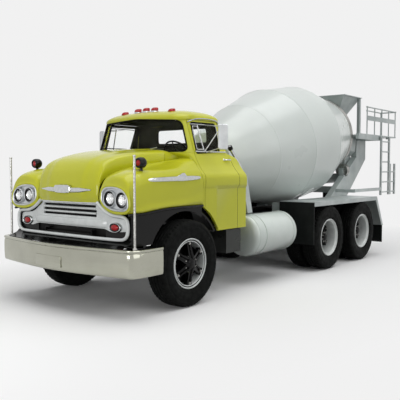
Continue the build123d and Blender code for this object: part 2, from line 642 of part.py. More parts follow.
def door_hinges(inner):
    """Left door hinges: pins with their end knuckles for the cab, bored barrels for the door."""
    pins = []
    barrels = []
    for z in HINGE_Z:
        low, high = z - HINGE_HALF - HINGE_END, z + HINGE_HALF + HINGE_END
        pins.append(rod((HINGE_X, HINGE_Y, low), (HINGE_X, HINGE_Y, high), HINGE_PIN_R))
        for start in (low, high - HINGE_END + RUNNING):
            end = start + HINGE_END - RUNNING
            pins.append(rod((HINGE_X, HINGE_Y, start), (HINGE_X, HINGE_Y, end), HINGE_R))
            pins.append(block((CAB_HALF - WALL, HINGE_X), (COWL_Y + SEAM, HINGE_Y - HINGE_PIN_R), (start, end)) - inner)
        barrel = rod((HINGE_X, HINGE_Y, z - HINGE_HALF), (HINGE_X, HINGE_Y, z + HINGE_HALF), HINGE_R)
        barrel = barrel + (block((CAB_HALF - WALL, HINGE_X), (DOOR_FRONT, DOOR_FRONT + 40),
                                 (z - HINGE_HALF, z + HINGE_HALF)) - inner)
        barrels.append(barrel - rod((HINGE_X, HINGE_Y, low), (HINGE_X, HINGE_Y, high), HINGE_PIN_R + RUNNING))
    return fused(pins), fused(barrels)


def build_cab():
    outer = cab_solid(0)
    inner = cab_solid(WALL)
    shell = outer - inner
    for house in wheel_house(HOUSE_R, (HOUSE_X, CAB_HALF + 165)):
        shell = shell - house
    shell = shell - block((-600, 600), (0, CAB_REAR + 200), (0, FLOOR_Z))
    floor = block((-CAB_HALF + WALL, CAB_HALF - WALL), (COWL_Y + 10, CAB_REAR - 10), (FLOOR_Z, FLOOR_Z + FLOOR_T))
    for house in wheel_house(HOUSE_R, (HOUSE_X, CAB_HALF + 165)):
        floor = floor - house
    door = shell & door_tool(0)
    window = window_tool(0)
    shell = shell + floor
    for tool in both(door_tool(DOOR_GAP)):
        shell = shell - tool
    cheek_x = (HOUSE_X - 10, HOUSE_X + 2)
    lining = cylinder_x((cheek_x[1], CAB_HALF - WALL - 22), 0, AXLE_Z, HOUSE_R + HOUSE_T) \
        - cylinder_x((cheek_x[0], CAB_HALF), 0, AXLE_Z, HOUSE_R)
    lining = lining & block((0, CAB_HALF), (COWL_Y + 5, 900), (CAB_LOW + 5, 1300))
    cheek = cylinder_x(cheek_x, 0, AXLE_Z, HOUSE_R + HOUSE_T) & block((0, CAB_HALF), (COWL_Y + 5, 900), (FLOOR_Z, 1300))
    for piece in both(lining + cheek):
        shell = shell + piece
    half_low, half_high = SILL_HALF - 48, ROOF_HALF - 42
    screen = prism_y(((-half_low, 1895), (half_low, 1895), (half_high, 2236), (0, 2262), (-half_high, 2236)),
                     (SCREEN_LOW_Y - 15, PILLAR_Y - 68))
    rear = block((-REAR_GLASS_HALF, REAR_GLASS_HALF), (1000, 1400), REAR_GLASS_Z)
    shell = shell - screen - rear
    dash = block((-760, 760), (COWL_Y + 20, DASH_REAR), (DASH_LOW, 1840))
    shell = shell + (dash & inner)
    pins, knuckles = door_hinges(inner)
    for piece in both(pins):
        shell = shell + piece
    save("cab_shell", shell)

    leaf = door - window
    handle = Pos(905, 900, 1757) * Rot(0, 25, 0) * Box(50, 120, 24)
    leaf = leaf + (handle - inner) + knuckles
    layer = cab_solid(20) - cab_solid(20 + GLASS_T)
    pane = layer & window_tool(-0.3)
    mirror_x, mirror_y = 1150, 600
    head = block((mirror_x - 95, mirror_x + 60), (mirror_y, mirror_y + 40), (1890, 2220))
    arm = rod((mirror_x, mirror_y + 20, 1900), (900, 470, 1690), 9)
    upper = rod((mirror_x, mirror_y + 20, 2205), (700, 440, 2215), 9)
    mirror_piece = fused([head, arm, upper]) - outer
    for name, place in (("left", lambda shape: shape), ("right", mirrored)):
        save("door_" + name, place(leaf))
        save("door_glass_" + name, place(pane))
        save("mirror_" + name, place(mirror_piece))

    glass = (cab_solid(14) - cab_solid(14 + GLASS_T))
    front = prism_y(((-half_low + 1, 1896), (half_low - 1, 1896), (half_high - 1, 2235), (0, 2261), (-half_high + 1, 2235)),
                    (50, PILLAR_Y - 70)) & glass
    back = glass & block((-REAR_GLASS_HALF + 0.3, REAR_GLASS_HALF - 0.3), (1000, 1400),
                         (REAR_GLASS_Z[0] + 0.3, REAR_GLASS_Z[1] - 0.3))
    save("cab_glass", [front, back])


def build_cab_inside():
    cushion = block((-600, 600), (700, 1170), (1300, 1450)) + block((-600, 600), (1040, 1140), (1450, 1820))
    base = block((-560, 560), (800, 1170), (FLOOR_Z + FLOOR_T, 1300))
    save("seat", cushion + base)

    wheel_centre = Vector(380, 690, 1800)
    lean = Vector(0, 0.62, 1).normalized()
    ring = Plane(origin=wheel_centre, z_dir=lean) * Torus(215, 12)
    foot = wheel_centre - lean * 300
    column = rod(tuple(foot), tuple(wheel_centre), 22)
    spokes = [Plane(origin=wheel_centre, z_dir=lean) * Rot(0, 0, 60 * k) * Box(420, 22, 14) for k in range(3)]
    dash = block((-760, 760), (COWL_Y, DASH_REAR + SEAT), (DASH_LOW - SEAT, 1840))
    save("steering_wheel", fused([ring, column] + spokes) - dash)


# ---- engine, radiator, exhaust, tanks, boxes --------------------------------------------
def build_power():
    engine = block(*ENGINE_BOX)
    sump = block((-180, 180), (-420, 240), (730, 962))
    gear = rod((0, 250, 820), (0, 900, 800), 150)
    mounts = both(block((ENGINE_BOX[0][1] - 10, RAIL_X), (-300, -200), (RAIL_TOP, RAIL_TOP + 60)))
    save("engine", fused([engine, sump, gear] + mounts))
    save("radiator", block(*RADIATOR_BOX) + block((-RAIL_X + 20, RAIL_X - 20), RADIATOR_BOX[1], (RAIL_TOP, RAIL_TOP + 60)))


def build_tanks():
    tanks = []
    length = TANK_Y[1] - TANK_Y[0]
    profile = ((0, 0), (0, TANK_R * 0.55), (TANK_DOME * 0.55, TANK_R * 0.88), (TANK_DOME, TANK_R),
               (length - TANK_DOME, TANK_R), (length - TANK_DOME * 0.55, TANK_R * 0.88),
               (length, TANK_R * 0.55), (length, 0))
    face = make_face(Polyline(*[(0, along, radius) for along, radius in profile], close=True))
    body = Pos(TANK_X, TANK_Y[0], TANK_Z) * revolve(face, Axis.Y)
    for y in TANK_BAND_Y:
        body = body + rod((TANK_X, y - BAND_W / 2, TANK_Z), (TANK_X, y + BAND_W / 2, TANK_Z), TANK_R + BAND_T)
        body = body + block((RAIL_X + 0.3, TANK_X - TANK_R + 60), (y - BAND_W, y + BAND_W),
                            (RAIL_TOP - RAIL_DEPTH + 10, RAIL_TOP - 20))
    save("side_tanks", both(body))
    save("side_boxes", both(block(BOX_X, BOX_Y, BOX_Z)
                            + block((RAIL_X + 0.3, BOX_X[0] + 20), (BOX_Y[0] + 60, BOX_Y[1] - 60), (720, 830))))


# ---- drum and its supports --------------------------------------------------------------
def drum_frame():
    return Location((0, DRUM_Y, DRUM_Z), (DRUM_TILT, 0, 0))


def build_drum():
    outer = [(s, r) for s, r in DRUM_PROFILE]
    inner = [(s + (DRUM_WALL if k == 0 else 0), r - DRUM_WALL) for k, (s, r) in enumerate(DRUM_PROFILE)]
    first, last = outer[0], outer[-1]
    outline = [(first[0], 0)] + outer + [(last[0], LIP_R), (last[0] + 22, LIP_R), (last[0] + 22, LIP_R - 34)]
    outline += list(reversed(inner)) + [(inner[0][0], 0)]
    face = make_face(Polyline(*[(0, s, r) for s, r in outline], close=True))
    shell = revolve(face, Axis.Y)
    ring_face = make_face(Polyline((0, RING_AT - RING_W / 2, 690), (0, RING_AT - RING_W / 2, RING_R),
                                   (0, RING_AT + RING_W / 2, RING_R), (0, RING_AT + RING_W / 2, 672), close=True))
    ring = revolve(ring_face, Axis.Y)
    drive = rod((0, first[0] + 5, 0), (0, first[0] - DRIVE_LENGTH, 0), DRIVE_R)
    flange = rod((0, first[0] + 5, 0), (0, first[0] - 30, 0), DRIVE_R * 2)
    save("drum", drum_frame() * fused([shell, ring, drive, flange]))

    reach = RING_R + ROLLER_R + ROLLER_GAP
    for side, name in ((1, "left"), (-1, "right")):
        x = side * reach * sin(radians(ROLLER_ANGLE))
        z = -reach * cos(radians(ROLLER_ANGLE))
        wheel = rod((x, RING_AT - ROLLER_W / 2, z), (x, RING_AT + ROLLER_W / 2, z), ROLLER_R)
        bore = rod((x, RING_AT - ROLLER_W, z), (x, RING_AT + ROLLER_W, z), ROLLER_PIN_R + RUNNING)
        save("drum_roller_" + name, drum_frame() * (wheel - bore))


def build_supports():
    y0, y1 = PEDESTAL_Y - PEDESTAL_D / 2, PEDESTAL_Y + PEDESTAL_D / 2
    plate = prism_y(((-PEDESTAL_FOOT_HALF, RAIL_TOP + 75), (PEDESTAL_FOOT_HALF, RAIL_TOP + 75),
                     (PEDESTAL_TOP_HALF, PEDESTAL_SHOULDER), (GEARBOX_HALF, 1900), (-GEARBOX_HALF, 1900),
                     (-PEDESTAL_TOP_HALF, PEDESTAL_SHOULDER)), (y0, y1))
    feet = both(block((RAIL_X - RAIL_FLANGE, RAIL_X), (y0 - 60, y1 + 60), (RAIL_TOP, RAIL_TOP + 80)))
    start = DRUM_PROFILE[0][0]
    casing = drum_frame() * block((-GEARBOX_HALF + 20, GEARBOX_HALF - 20),
                                  (start - 60 - GEARBOX_LENGTH, start - 60), (-190, 190))
    bore = drum_frame() * rod((0, start - DRIVE_LENGTH - 20, 0), (0, start + 10, 0), DRIVE_R + RUNNING)
    pedestal = fused([plate, casing] + feet) - bore
    save("front_pedestal", pedestal)
    pipe = rod((PIPE_X, *PIPE_LOW), (PIPE_X, *PIPE_HIGH), PIPE_R)
    foot = rod((PIPE_X, PEDESTAL_Y, PEDESTAL_SHOULDER), (PIPE_X, PEDESTAL_Y, PIPE_LOW[1] + 40), PIPE_R)
    save("slanted_pipe", (pipe + foot) - pedestal)

    reach = RING_R + ROLLER_R + ROLLER_GAP
    outline = [(y, z) for y, z in LEG_OUTLINE]
    legs = both(prism_x(outline, (LEG_X - LEG_W / 2, LEG_X + LEG_W / 2)))
    beam = block((-LEG_X, LEG_X), *LEG_BEAM)
    body = fused(legs + [beam])
    for side in (1, -1):
        x = side * reach * sin(radians(ROLLER_ANGLE))
        z = -reach * cos(radians(ROLLER_ANGLE))
        half = ROLLER_W / 2 + 8
        body = body - drum_frame() * rod((x, RING_AT - half, z), (x, RING_AT + half, z), ROLLER_R + 12)
    pieces = [body]
    for side in (1, -1):
        x = side * reach * sin(radians(ROLLER_ANGLE))
        z = -reach * cos(radians(ROLLER_ANGLE))
        pin = drum_frame() * rod((x, RING_AT - ROLLER_W / 2 - 40, z), (x, RING_AT + ROLLER_W / 2 + 40, z), ROLLER_PIN_R)
        pieces.append(pin)
        for end in (-1, 1):
            y = RING_AT + end * (ROLLER_W / 2 + 22)
            cheek = drum_frame() * block((x - 45, x + 45), (y - 14, y + 14), (z - 260, z + 45))
            pieces.append(cheek)
    save("rear_pedestal", fused(pieces))


def build_deck():
    x0, x1 = DECK_X
    y0, y1 = DECK_Y
    tail_y, tail_z = DECK_TAIL
    t = DECK_T
    skin = ((y0, DECK_TOP - DECK_EDGE), (y0, DECK_TOP), (y1, DECK_TOP), (tail_y, tail_z), (tail_y - t, tail_z),
            (y1 - t * 0.6, DECK_TOP - t), (y0 + t, DECK_TOP - t), (y0 + t, DECK_TOP - DECK_EDGE))
    plate = prism_x(skin, (x0, x1))
    edge = prism_x(((y0, DECK_TOP - DECK_EDGE), (y0, DECK_TOP - 5), (y1, DECK_TOP - 5), (tail_y - 10, tail_z),
                    (tail_y - 70, tail_z), (y1 - 50, DECK_TOP - DECK_EDGE)), (x1 - 12, x1))
    brackets = [block((RAIL_X + 0.3, x0 + 40), (y - 40, y + 40), (RAIL_TOP - 120, DECK_TOP - t)) for y in (2980, 4127)]
    brackets.append(block((LEG_X + LEG_W / 2 + 0.3, x0 + 40), (4990, 5070), (RAIL_TOP + 60, DECK_TOP - t)))
    save("deck", both(fused([plate, edge] + brackets)))

    board = block((x0, x1 - 5), (y0 - BOARD_T - SEAT, y0 - SEAT), (BOARD_LOW, DECK_TOP - 10))
    flap = block((x0 + 60, x1 - 10), (tail_y - 26, tail_y - 14), (FLAP_LOW, tail_z - SEAT))
    save("splash_guards", both(board) + both(flap))


# ---- platform, ladder, hopper, chute ---------------------------------------------------
def build_platform():
    x0, x1 = PLATFORM_X
    y0, y1 = PLATFORM_Y
    pieces = [block((x0, x1), (FLOOR_START, y1), (FLOOR_TOP - 25, FLOOR_TOP))]
    pieces.append(block((x1 - 60, x1), (y0, BEAM_END), (FLOOR_TOP - 105, FLOOR_TOP)))
    for y in ARM_Y:
        pieces.append(block((LEG_X - LEG_W / 2, x1), (y, y + ARM_W), (LEG_TOP, FLOOR_TOP - 20)))
    r = RAIL_TUBE_R
    near, far = x1 - r - 2, x0 + r + 2
    last = y1 - r - 2
    posts = [RAIL_FRONT_Y + (last - RAIL_FRONT_Y) * k / 4 for k in range(5)]
    for y in posts:
        pieces.append(rod((near, y, FLOOR_TOP - 10), (near, y, RAIL_TOP_Z), POST_TUBE_R))
    for y in (posts[2], posts[4]):
        pieces.append(rod((far, y, FLOOR_TOP - 10), (far, y, RAIL_TOP_Z), POST_TUBE_R))
    for x, start in ((near, posts[0]), (far, posts[2])):
        pieces.append(rod((x, start, RAIL_TOP_Z), (x, posts[4], RAIL_TOP_Z), r))
        for y in (start, posts[4]):
            pieces.append(Pos(x, y, RAIL_TOP_Z) * Box(2 * r + 4, 2 * r + 4, 2 * r + 4))
    pieces.append(rod((far, posts[4], RAIL_TOP_Z), (near, posts[4], RAIL_TOP_Z), r))
    pieces.append(block((near - 6, near + 6), (posts[0], posts[4]), BASKET_PANEL_Z))
    save("rear_platform", fused(pieces))

    left, right = LADDER_X - LADDER_T, LADDER_X + LADDER_T
    rails = []
    rungs = []
    for pair, top in ((LADDER_Y, FLOOR_TOP - 20), (FOLD_Y, FOLD_TOP)):
        rails += [block((left, right), (y - LADDER_TUBE, y + LADDER_TUBE), (LADDER_LOW, top)) for y in pair]
        count = int((top - LADDER_LOW - 100) // RUNG_PITCH)
        rungs += [rod((LADDER_X, pair[0], z), (LADDER_X, pair[1], z), RUNG_R)
                  for z in (LADDER_LOW + 60 + RUNG_PITCH * k for k in range(count + 1))]
    first, second = LADDER_Y
    lugs = [block((left + 3, right - 3), (second, FOLD_Y[0]), (z, z + 30)) for z in FOLD_LUG_Z]
    hangers = [block((PLATFORM_X[1] + SEAT, LADDER_X), (first - 20, first + 20), (LEG_TOP, FLOOR_TOP - 30)),
               block((PLATFORM_X[1] - 30, LADDER_X), (second - 20, second + 20), (FLOOR_TOP - 65, FLOOR_TOP - 25 - SEAT))]
    stay = block((LEG_X + LEG_W / 2, LADDER_X), STAY_Y, STAY_Z) \
        + block((left, right), (STAY_Y[0], first), (STAY_Z[0] + 5, STAY_Z[1] + 5))
    save("ladder", fused(rails + rungs + lugs + hangers + [stay]))


def funnel(levels, inset):
    return loft([make_face(Polyline((-x + inset, y0 + inset, z), (x - inset, y0 + inset, z), (x - inset, y1 - inset, z),
                                    (-x + inset, y1 - inset, z), close=True)) for z, x, y0, y1 in levels], ruled=True)


def build_hopper():
    shell = funnel(HOPPER, 0)
    hollow = funnel(((HOPPER_TOP + 1,) + HOPPER[0][1:], HOPPER[1], (HOPPER[2][0] - 1,) + HOPPER[2][1:]), HOPPER_T)
    half, front, rear = HOPPER[0][1:]
    brim = block((-half - BRIM_W, half + BRIM_W), (front - BRIM_W, rear + BRIM_W), (HOPPER_TOP - BRIM_T, HOPPER_TOP)) \
        - block((-half + BRIM_IN, half - BRIM_IN), (front + BRIM_IN, rear - BRIM_IN), (HOPPER_TOP - 40, HOPPER_TOP + 10))
    props = both(block((LEG_X - 30, LEG_X + 30), PROP_Y, (LEG_TOP, HOPPER_TOP - BRIM_T / 2)))
    save("charge_hopper", fused([shell - hollow, brim] + props))

    hollow = tuple((z + lift, x, y0, y1) for (z, x, y0, y1), lift in zip(COLLECTOR, (1, 0, 0, 0, -1)))
    shell = funnel(COLLECTOR, 0) - funnel(hollow, HOPPER_T)
    ears = both(block((COLLECTOR[3][1], LEG_X - LEG_W / 2), EAR_Y, EAR_Z))
    save("collector", fused([shell] + ears))

    trough = rod((0, 0, 0), (-CHUTE_LENGTH, 0, 0), CHUTE_R) - rod((1, 0, 0), (-CHUTE_LENGTH - 1, 0, 0), CHUTE_R - CHUTE_T)
    trough = trough - block((-CHUTE_LENGTH - 10, 10), (-CHUTE_R - 5, CHUTE_R + 5), (0, CHUTE_R + 5))
    chute = Pos(150, CHUTE_Y, CHUTE_Z + 60) * Rot(0, -CHUTE_SLOPE, 0) * trough
    save("discharge_chute", chute + rod((0, CHUTE_Y, CHUTE_Z - 250), (0, CHUTE_Y, CHUTE_Z - 135), 55))
    arm = block((-70, 70), (FRAME_REAR - 110, CHUTE_Y + 70), (CHUTE_Z - 320, CHUTE_Z - 250.5))
    post = block((-70, 70), (FRAME_REAR - 105, FRAME_REAR - 15), (RAIL_TOP - 40, CHUTE_Z - 260))
    arm = arm + post
    save("chute_bracket", arm)


def build():
    os.makedirs("parts", exist_ok=True)
    build_frame()
    build_axles()
    build_wheels()
    build_bumper()
    build_grille()
    build_hood()
    build_fenders()
    build_cab()
    build_cab_inside()
    build_power()
    build_tanks()
    build_drum()
    build_supports()
    build_deck()
    build_platform()
    build_hopper()
    save("lamps", build_lamps())


build()
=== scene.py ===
"""Looks of a concrete mixer truck: enamelled sheet metal, chrome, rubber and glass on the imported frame."""

import json
import math

import bmesh
import bpy
from mathutils import Matrix, Vector

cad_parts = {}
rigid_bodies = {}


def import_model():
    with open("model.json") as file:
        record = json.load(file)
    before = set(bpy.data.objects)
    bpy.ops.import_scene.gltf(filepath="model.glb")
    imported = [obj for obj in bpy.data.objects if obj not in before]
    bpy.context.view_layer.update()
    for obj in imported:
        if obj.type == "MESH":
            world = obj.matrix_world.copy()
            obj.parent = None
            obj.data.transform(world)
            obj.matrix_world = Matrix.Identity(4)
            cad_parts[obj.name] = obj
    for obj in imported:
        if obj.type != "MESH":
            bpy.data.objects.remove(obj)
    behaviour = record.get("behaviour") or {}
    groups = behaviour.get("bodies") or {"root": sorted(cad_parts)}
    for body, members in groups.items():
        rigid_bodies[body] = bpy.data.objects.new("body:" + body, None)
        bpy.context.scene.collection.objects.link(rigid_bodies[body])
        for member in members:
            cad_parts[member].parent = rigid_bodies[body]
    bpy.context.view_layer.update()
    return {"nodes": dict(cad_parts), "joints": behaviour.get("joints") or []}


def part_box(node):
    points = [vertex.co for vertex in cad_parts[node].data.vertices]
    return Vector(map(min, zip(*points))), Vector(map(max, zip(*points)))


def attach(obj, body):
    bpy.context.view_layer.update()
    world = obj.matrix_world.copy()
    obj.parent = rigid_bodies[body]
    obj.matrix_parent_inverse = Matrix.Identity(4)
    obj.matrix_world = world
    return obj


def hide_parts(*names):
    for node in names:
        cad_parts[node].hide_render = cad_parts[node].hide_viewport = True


for leftover in list(bpy.data.objects):
    bpy.data.objects.remove(leftover)

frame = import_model()
JOINTS = {joint["name"]: joint for joint in frame["joints"]}
AXLE_Y = JOINTS["steer_left"]["pos_m"][1]
AXLE_Z = JOINTS["steer_left"]["pos_m"][2]
SIDES = ((1, "left"), (-1, "right"))


# ---- small helpers ---------------------------------------------------------------------
def linear(code):
    """sRGB hex to a linear colour."""
    levels = [int(code[k:k + 2], 16) / 255 for k in (1, 3, 5)]
    return [c / 12.92 if c <= 0.04045 else ((c + 0.055) / 1.055) ** 2.4 for c in levels] + [1.0]


def add(tree, kind, settings=None, links=None):
    """Adds a node with its settings and its incoming links."""
    made = tree.nodes.new(kind)
    for key, value in (settings or {}).items():
        if isinstance(key, int) or key in made.inputs:
            made.inputs[key].default_value = value
        else:
            setattr(made, key, value)
    for key, source in (links or {}).items():
        tree.links.new(source, made.inputs[key])
    return made


def at(x, y, z):
    """A point given from the front axle's middle on the ground."""
    return Vector((x, AXLE_Y + y, z))


def around(count):
    """The angles of a number of even steps round a circle."""
    return [2 * math.pi * k / count for k in range(count)]


def through(points, steps, closed=False):
    """A smooth line through the points, with a number of steps between two of them."""
    points = [Vector(p) for p in points]
    count = len(points)
    last = count if closed else count - 1
    line = []
    for k in range(last):
        if closed:
            p0, p1, p2, p3 = (points[(k + d) % count] for d in (-1, 0, 1, 2))
        else:
            p1, p2 = points[k], points[k + 1]
            p0 = points[k - 1] if k else p1 * 2 - p2
            p3 = points[k + 2] if k + 2 < count else p2 * 2 - p1
        for s in range(steps):
            t = s / steps
            line.append(0.5 * (2 * p1 + (p2 - p0) * t + (2 * p0 - 5 * p1 + 4 * p2 - p3) * t * t
                               + (3 * p1 - p0 - 3 * p2 + p3) * t * t * t))
    if not closed:
        line.append(points[-1])
    return line


def skin(name, rows, ring=False, caps=False):
    """A mesh over rows of points; ring joins each row's end to its start, caps closes the first and last."""
    mesh = bpy.data.meshes.new(name)
    width = len(rows[0])
    verts = [tuple(p) for row in rows for p in row]
    faces = []
    for r in range(len(rows) - 1):
        for c in range(width if ring else width - 1):
            d = (c + 1) % width
            faces.append((r * width + c, r * width + d, (r + 1) * width + d, (r + 1) * width + c))
    if caps:
        faces.append(tuple(reversed(range(width))))
        faces.append(tuple(range((len(rows) - 1) * width, len(rows) * width)))
    mesh.from_pydata(verts, [], faces)
    return placed(name, mesh)


def linked(name, shown):
    """A new object of the scene that shows a mesh, a lamp or a camera."""
    made = bpy.data.objects.new(name, shown)
    bpy.context.scene.collection.objects.link(made)
    return made


def meshed(name, form):
    """The mesh that a form under work ends as."""
    mesh = bpy.data.meshes.new(name)
    form.to_mesh(mesh)
    form.free()
    return mesh


def placed(name, mesh):
    """A mesh shown in the scene, its faces turned outward and its soft edges smooth."""
    made = linked(name, mesh)
    form = bmesh.new()
    form.from_mesh(mesh)
    bmesh.ops.recalc_face_normals(form, faces=form.faces)
    form.to_mesh(mesh)
    form.free()
    soften(made)
    return made


def soften(piece, smooth_angle=35):
    """Shades the piece smooth, with edges sharper than an angle left hard."""
    for face in piece.data.polygons:
        face.use_smooth = True
    piece.data.set_sharp_from_angle(angle=math.radians(smooth_angle))


def smooth_skin(name, rows, along, across, ring=False, caps=False):
    """A skin drawn smoothly through a coarse grid of points, both ways."""
    fine = [through(row, across, closed=ring) for row in rows]
    columns = [through([row[c] for row in fine], along) for c in range(len(fine[0]))]
    return skin(name, [[column[r] for column in columns] for r in range(len(columns[0]))], ring, caps)


def turned(name, profile, centre, axis=(1, 0, 0), segments=64, closed=False, side=None):
    """A profile of (distance along the axis, radius) turned about it, from a given side or any."""
    direction = Vector(axis).normalized()
    if side is None:
        side = direction.orthogonal().normalized()
    up = direction.cross(side)
    rows = []
    for along, radius in (profile + profile[:1] if closed else profile):
        rows.append([Vector(centre) + direction * along
                     + (side * math.cos(a) + up * math.sin(a)) * radius
                     for a in around(segments)])
    made = skin(name, rows, ring=True)
    closed_tips(made)
    return made


def closed_tips(piece):
    """Joins the points that meet on the axis, so that the form is closed."""
    form = bmesh.new()
    form.from_mesh(piece.data)
    bmesh.ops.remove_doubles(form, verts=form.verts, dist=0.00003)
    form.to_mesh(piece.data)
    form.free()
    soften(piece)


def box(name, low, high, bevel=0.0, segments=2):
    """A box with softened edges."""
    form = bmesh.new()
    bmesh.ops.create_cube(form, size=1.0)
    size = Vector(high) - Vector(low)
    middle = (Vector(high) + Vector(low)) / 2
    for v in form.verts:
        v.co = Vector((v.co.x * size.x, v.co.y * size.y, v.co.z * size.z)) + middle
    if bevel:
        bmesh.ops.bevel(form, geom=form.edges[:], offset=bevel, segments=segments, profile=0.5,
                        affect="EDGES")
    return placed(name, meshed(name, form))


def tube(name, points, radius, sides=12, smooth=0, closed=False):
    """A round bar that follows a line of points."""
    line = through(points, smooth, closed) if smooth else [Vector(p) for p in points]
    count = len(line)
    rows = []
    normal = None
    for k, p in enumerate(line):
        before = line[k - 1] if (k or closed) else p
        after = line[(k + 1) % count] if (k + 1 < count or closed) else p
        heading = (after - before).normalized()
        if normal is None:
            normal = heading.orthogonal().normalized()
        normal = (normal - heading * normal.dot(heading)).normalized()
        side = heading.cross(normal)
        rows.append([p + (normal * math.cos(a) + side * math.sin(a)) * radius
                     for a in around(sides)])
    if closed:
        rows.append(rows[0])
    return skin(name, rows, ring=True, caps=not closed)


def prism(name, outline, depth, bevel=0.0):
    """An outline of 3-D points swept by a vector, with softened edges."""
    form = bmesh.new()
    base = [form.verts.new(p) for p in outline]
    face = form.faces.new(base)
    swept = bmesh.ops.extrude_face_region(form, geom=[face])
    bmesh.ops.translate(form, vec=Vector(depth),
                        verts=[v for v in swept["geom"] if isinstance(v, bmesh.types.BMVert)])
    bmesh.ops.recalc_face_normals(form, faces=form.faces)
    if bevel:
        bmesh.ops.bevel(form, geom=form.edges[:], offset=bevel, segments=2, profile=0.5, affect="EDGES")
    return placed(name, meshed(name, form))


def joined(name, parts):
    """Several meshes made one piece."""
    form = bmesh.new()
    for part in parts:
        part.data.transform(part.matrix_world)
        form.from_mesh(part.data)
        bpy.data.objects.remove(part)
    made = linked(name, meshed(name, form))
    soften(made)
    return made


def mirrored(piece, name):
    """The same piece on the truck's other side."""
    mesh = piece.data.copy()
    mesh.transform(Matrix.Scale(-1, 4, (1, 0, 0)))
    mesh.flip_normals()
    return linked(name, mesh)


def applied(piece):
    """The piece with its modifiers made part of the mesh."""
    graph = bpy.context.evaluated_depsgraph_get()
    mesh = bpy.data.meshes.new_from_object(piece.evaluated_get(graph))
    piece.modifiers.clear()
    piece.data = mesh
    return piece


def carved(piece, cutter, operation="DIFFERENCE", keep=False):
    """The piece cut by, or kept inside, another."""
    change = piece.modifiers.new("cut", "BOOLEAN")
    change.operation = operation
    change.solver = "EXACT"
    change.object = cutter
    bpy.context.view_layer.update()
    applied(piece)
    if not keep:
        bpy.data.objects.remove(cutter)
    return piece


def copied(piece, name):
    """A second piece of the same form."""
    return linked(name, piece.data.copy())


def thick(piece, depth):
    """A sheet given its thickness, inward from the face that is drawn."""
    wall = piece.modifiers.new("wall", "SOLIDIFY")
    wall.thickness = depth
    wall.offset = -1
    return applied(piece)


def dress(piece, finish, body, slot, *stands_for):
    """Gives a piece its finish and its body, and hides the CAD nodes it stands for; slot is not used."""
    if finish is not None:
        piece.data.materials.clear()
        piece.data.materials.append(finish)
    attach(piece, body)
    if stands_for:
        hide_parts(*stands_for)
    return piece


def coat_node(node, finish, bevel=0.0):
    """A finish for a CAD node, with its edges softened."""
    piece = frame["nodes"][node]
    piece.data.materials.clear()
    piece.data.materials.append(finish)
    if bevel:
        edge = piece.modifiers.new("edge", "BEVEL")
        edge.width = bevel
        edge.segments = 2
        edge.limit_method = "ANGLE"
        edge.angle_limit = math.radians(30)
        edge.harden_normals = False
    return piece


# ---- finishes --------------------------------------------------------------------------
def finish(name, dark, light, patch, rough, metallic=0.0, coat=0.0, specular=0.5, relief=None):
    """A surface whose colour and gloss wander over patches of a size in metres;
    relief is its size, depth, strength."""
    made = bpy.data.materials.new(name)
    made.use_nodes = True
    tree = made.node_tree
    tree.nodes.clear()
    shader = add(tree, "ShaderNodeBsdfPrincipled",
                 {"Metallic": metallic, "Coat Weight": coat, "Coat Roughness": 0.05,
                                                    "Specular IOR Level": specular})
    add(tree, "ShaderNodeOutputMaterial", links={"Surface": shader.outputs["BSDF"]})
    place = add(tree, "ShaderNodeTexCoord")
    cloud = add(tree, "ShaderNodeTexNoise", {"Scale": 1 / patch, "Detail": 4.0},
                {"Vector": place.outputs["Object"]})
    share = add(tree, "ShaderNodeMapRange", {"From Min": 0.32, "From Max": 0.68},
                {"Value": cloud.outputs["Fac"]})
    tone = add(tree, "ShaderNodeMix", {"data_type": "RGBA", 6: linear(dark), 7: linear(light)},
               {0: share.outputs["Result"]})
    tree.links.new(tone.outputs[2], shader.inputs["Base Color"])
    gloss = add(tree, "ShaderNodeMapRange", {"From Min": 0.32, "From Max": 0.68, "To Min": rough[1],
                                             "To Max": rough[0]},
                {"Value": cloud.outputs["Fac"]})
    tree.links.new(gloss.outputs["Result"], shader.inputs["Roughness"])
    if relief:
        size, depth, strength = relief
        fine = add(tree, "ShaderNodeTexNoise", {"Scale": 1 / size, "Detail": 2.0},
                   {"Vector": place.outputs["Object"]})
        bump = add(tree, "ShaderNodeBump", {"Strength": strength, "Distance": depth},
                   {"Height": fine.outputs["Fac"]})
        tree.links.new(bump.outputs["Normal"], shader.inputs["Normal"])
    made.diffuse_color = linear(light)
    return made


def ribbed(made, rib, depth, strength):
    """The same finish with moulded ribs or a weave of a pitch in metres."""
    tree = made.node_tree
    place = add(tree, "ShaderNodeTexCoord")
    wave = add(tree, "ShaderNodeTexWave", {"Scale": 1 / rib / 6.283, "Distortion": 0.4},
               {"Vector": place.outputs["Object"]})
    bump = add(tree, "ShaderNodeBump", {"Strength": strength, "Distance": depth},
               {"Height": wave.outputs["Fac"]})
    tree.links.new(bump.outputs["Normal"], tree.nodes["Principled BSDF"].inputs["Normal"])
    return made


def clear(made, weight, ior):
    """The same finish made to let light through."""
    shader = made.node_tree.nodes["Principled BSDF"]
    shader.inputs["Transmission Weight"].default_value = weight
    shader.inputs["IOR"].default_value = ior
    return made


# sprayed lime yellow enamel on pressed steel: deep gloss with a faint orange peel of 12 mm
YELLOW = finish("lime_enamel", "#C6C828", "#D1D231", 0.9, (0.15, 0.22), coat=0.25, specular=0.22,
                relief=(0.012, 0.0002, 0.1))
# gloss black enamel on the skirts: nearly a mirror, with a little road dust
BLACK = finish("black_gloss_enamel", "#040404", "#0A0A09", 0.3, (0.06, 0.16), specular=0.2)
# off-white enamel on a rolled and welded drum: satin gloss with faint dents and cement dust
DRUM_WHITE = finish("drum_enamel", "#D3DAD6", "#E0E7E3", 1.5, (0.26, 0.32), coat=0.3)
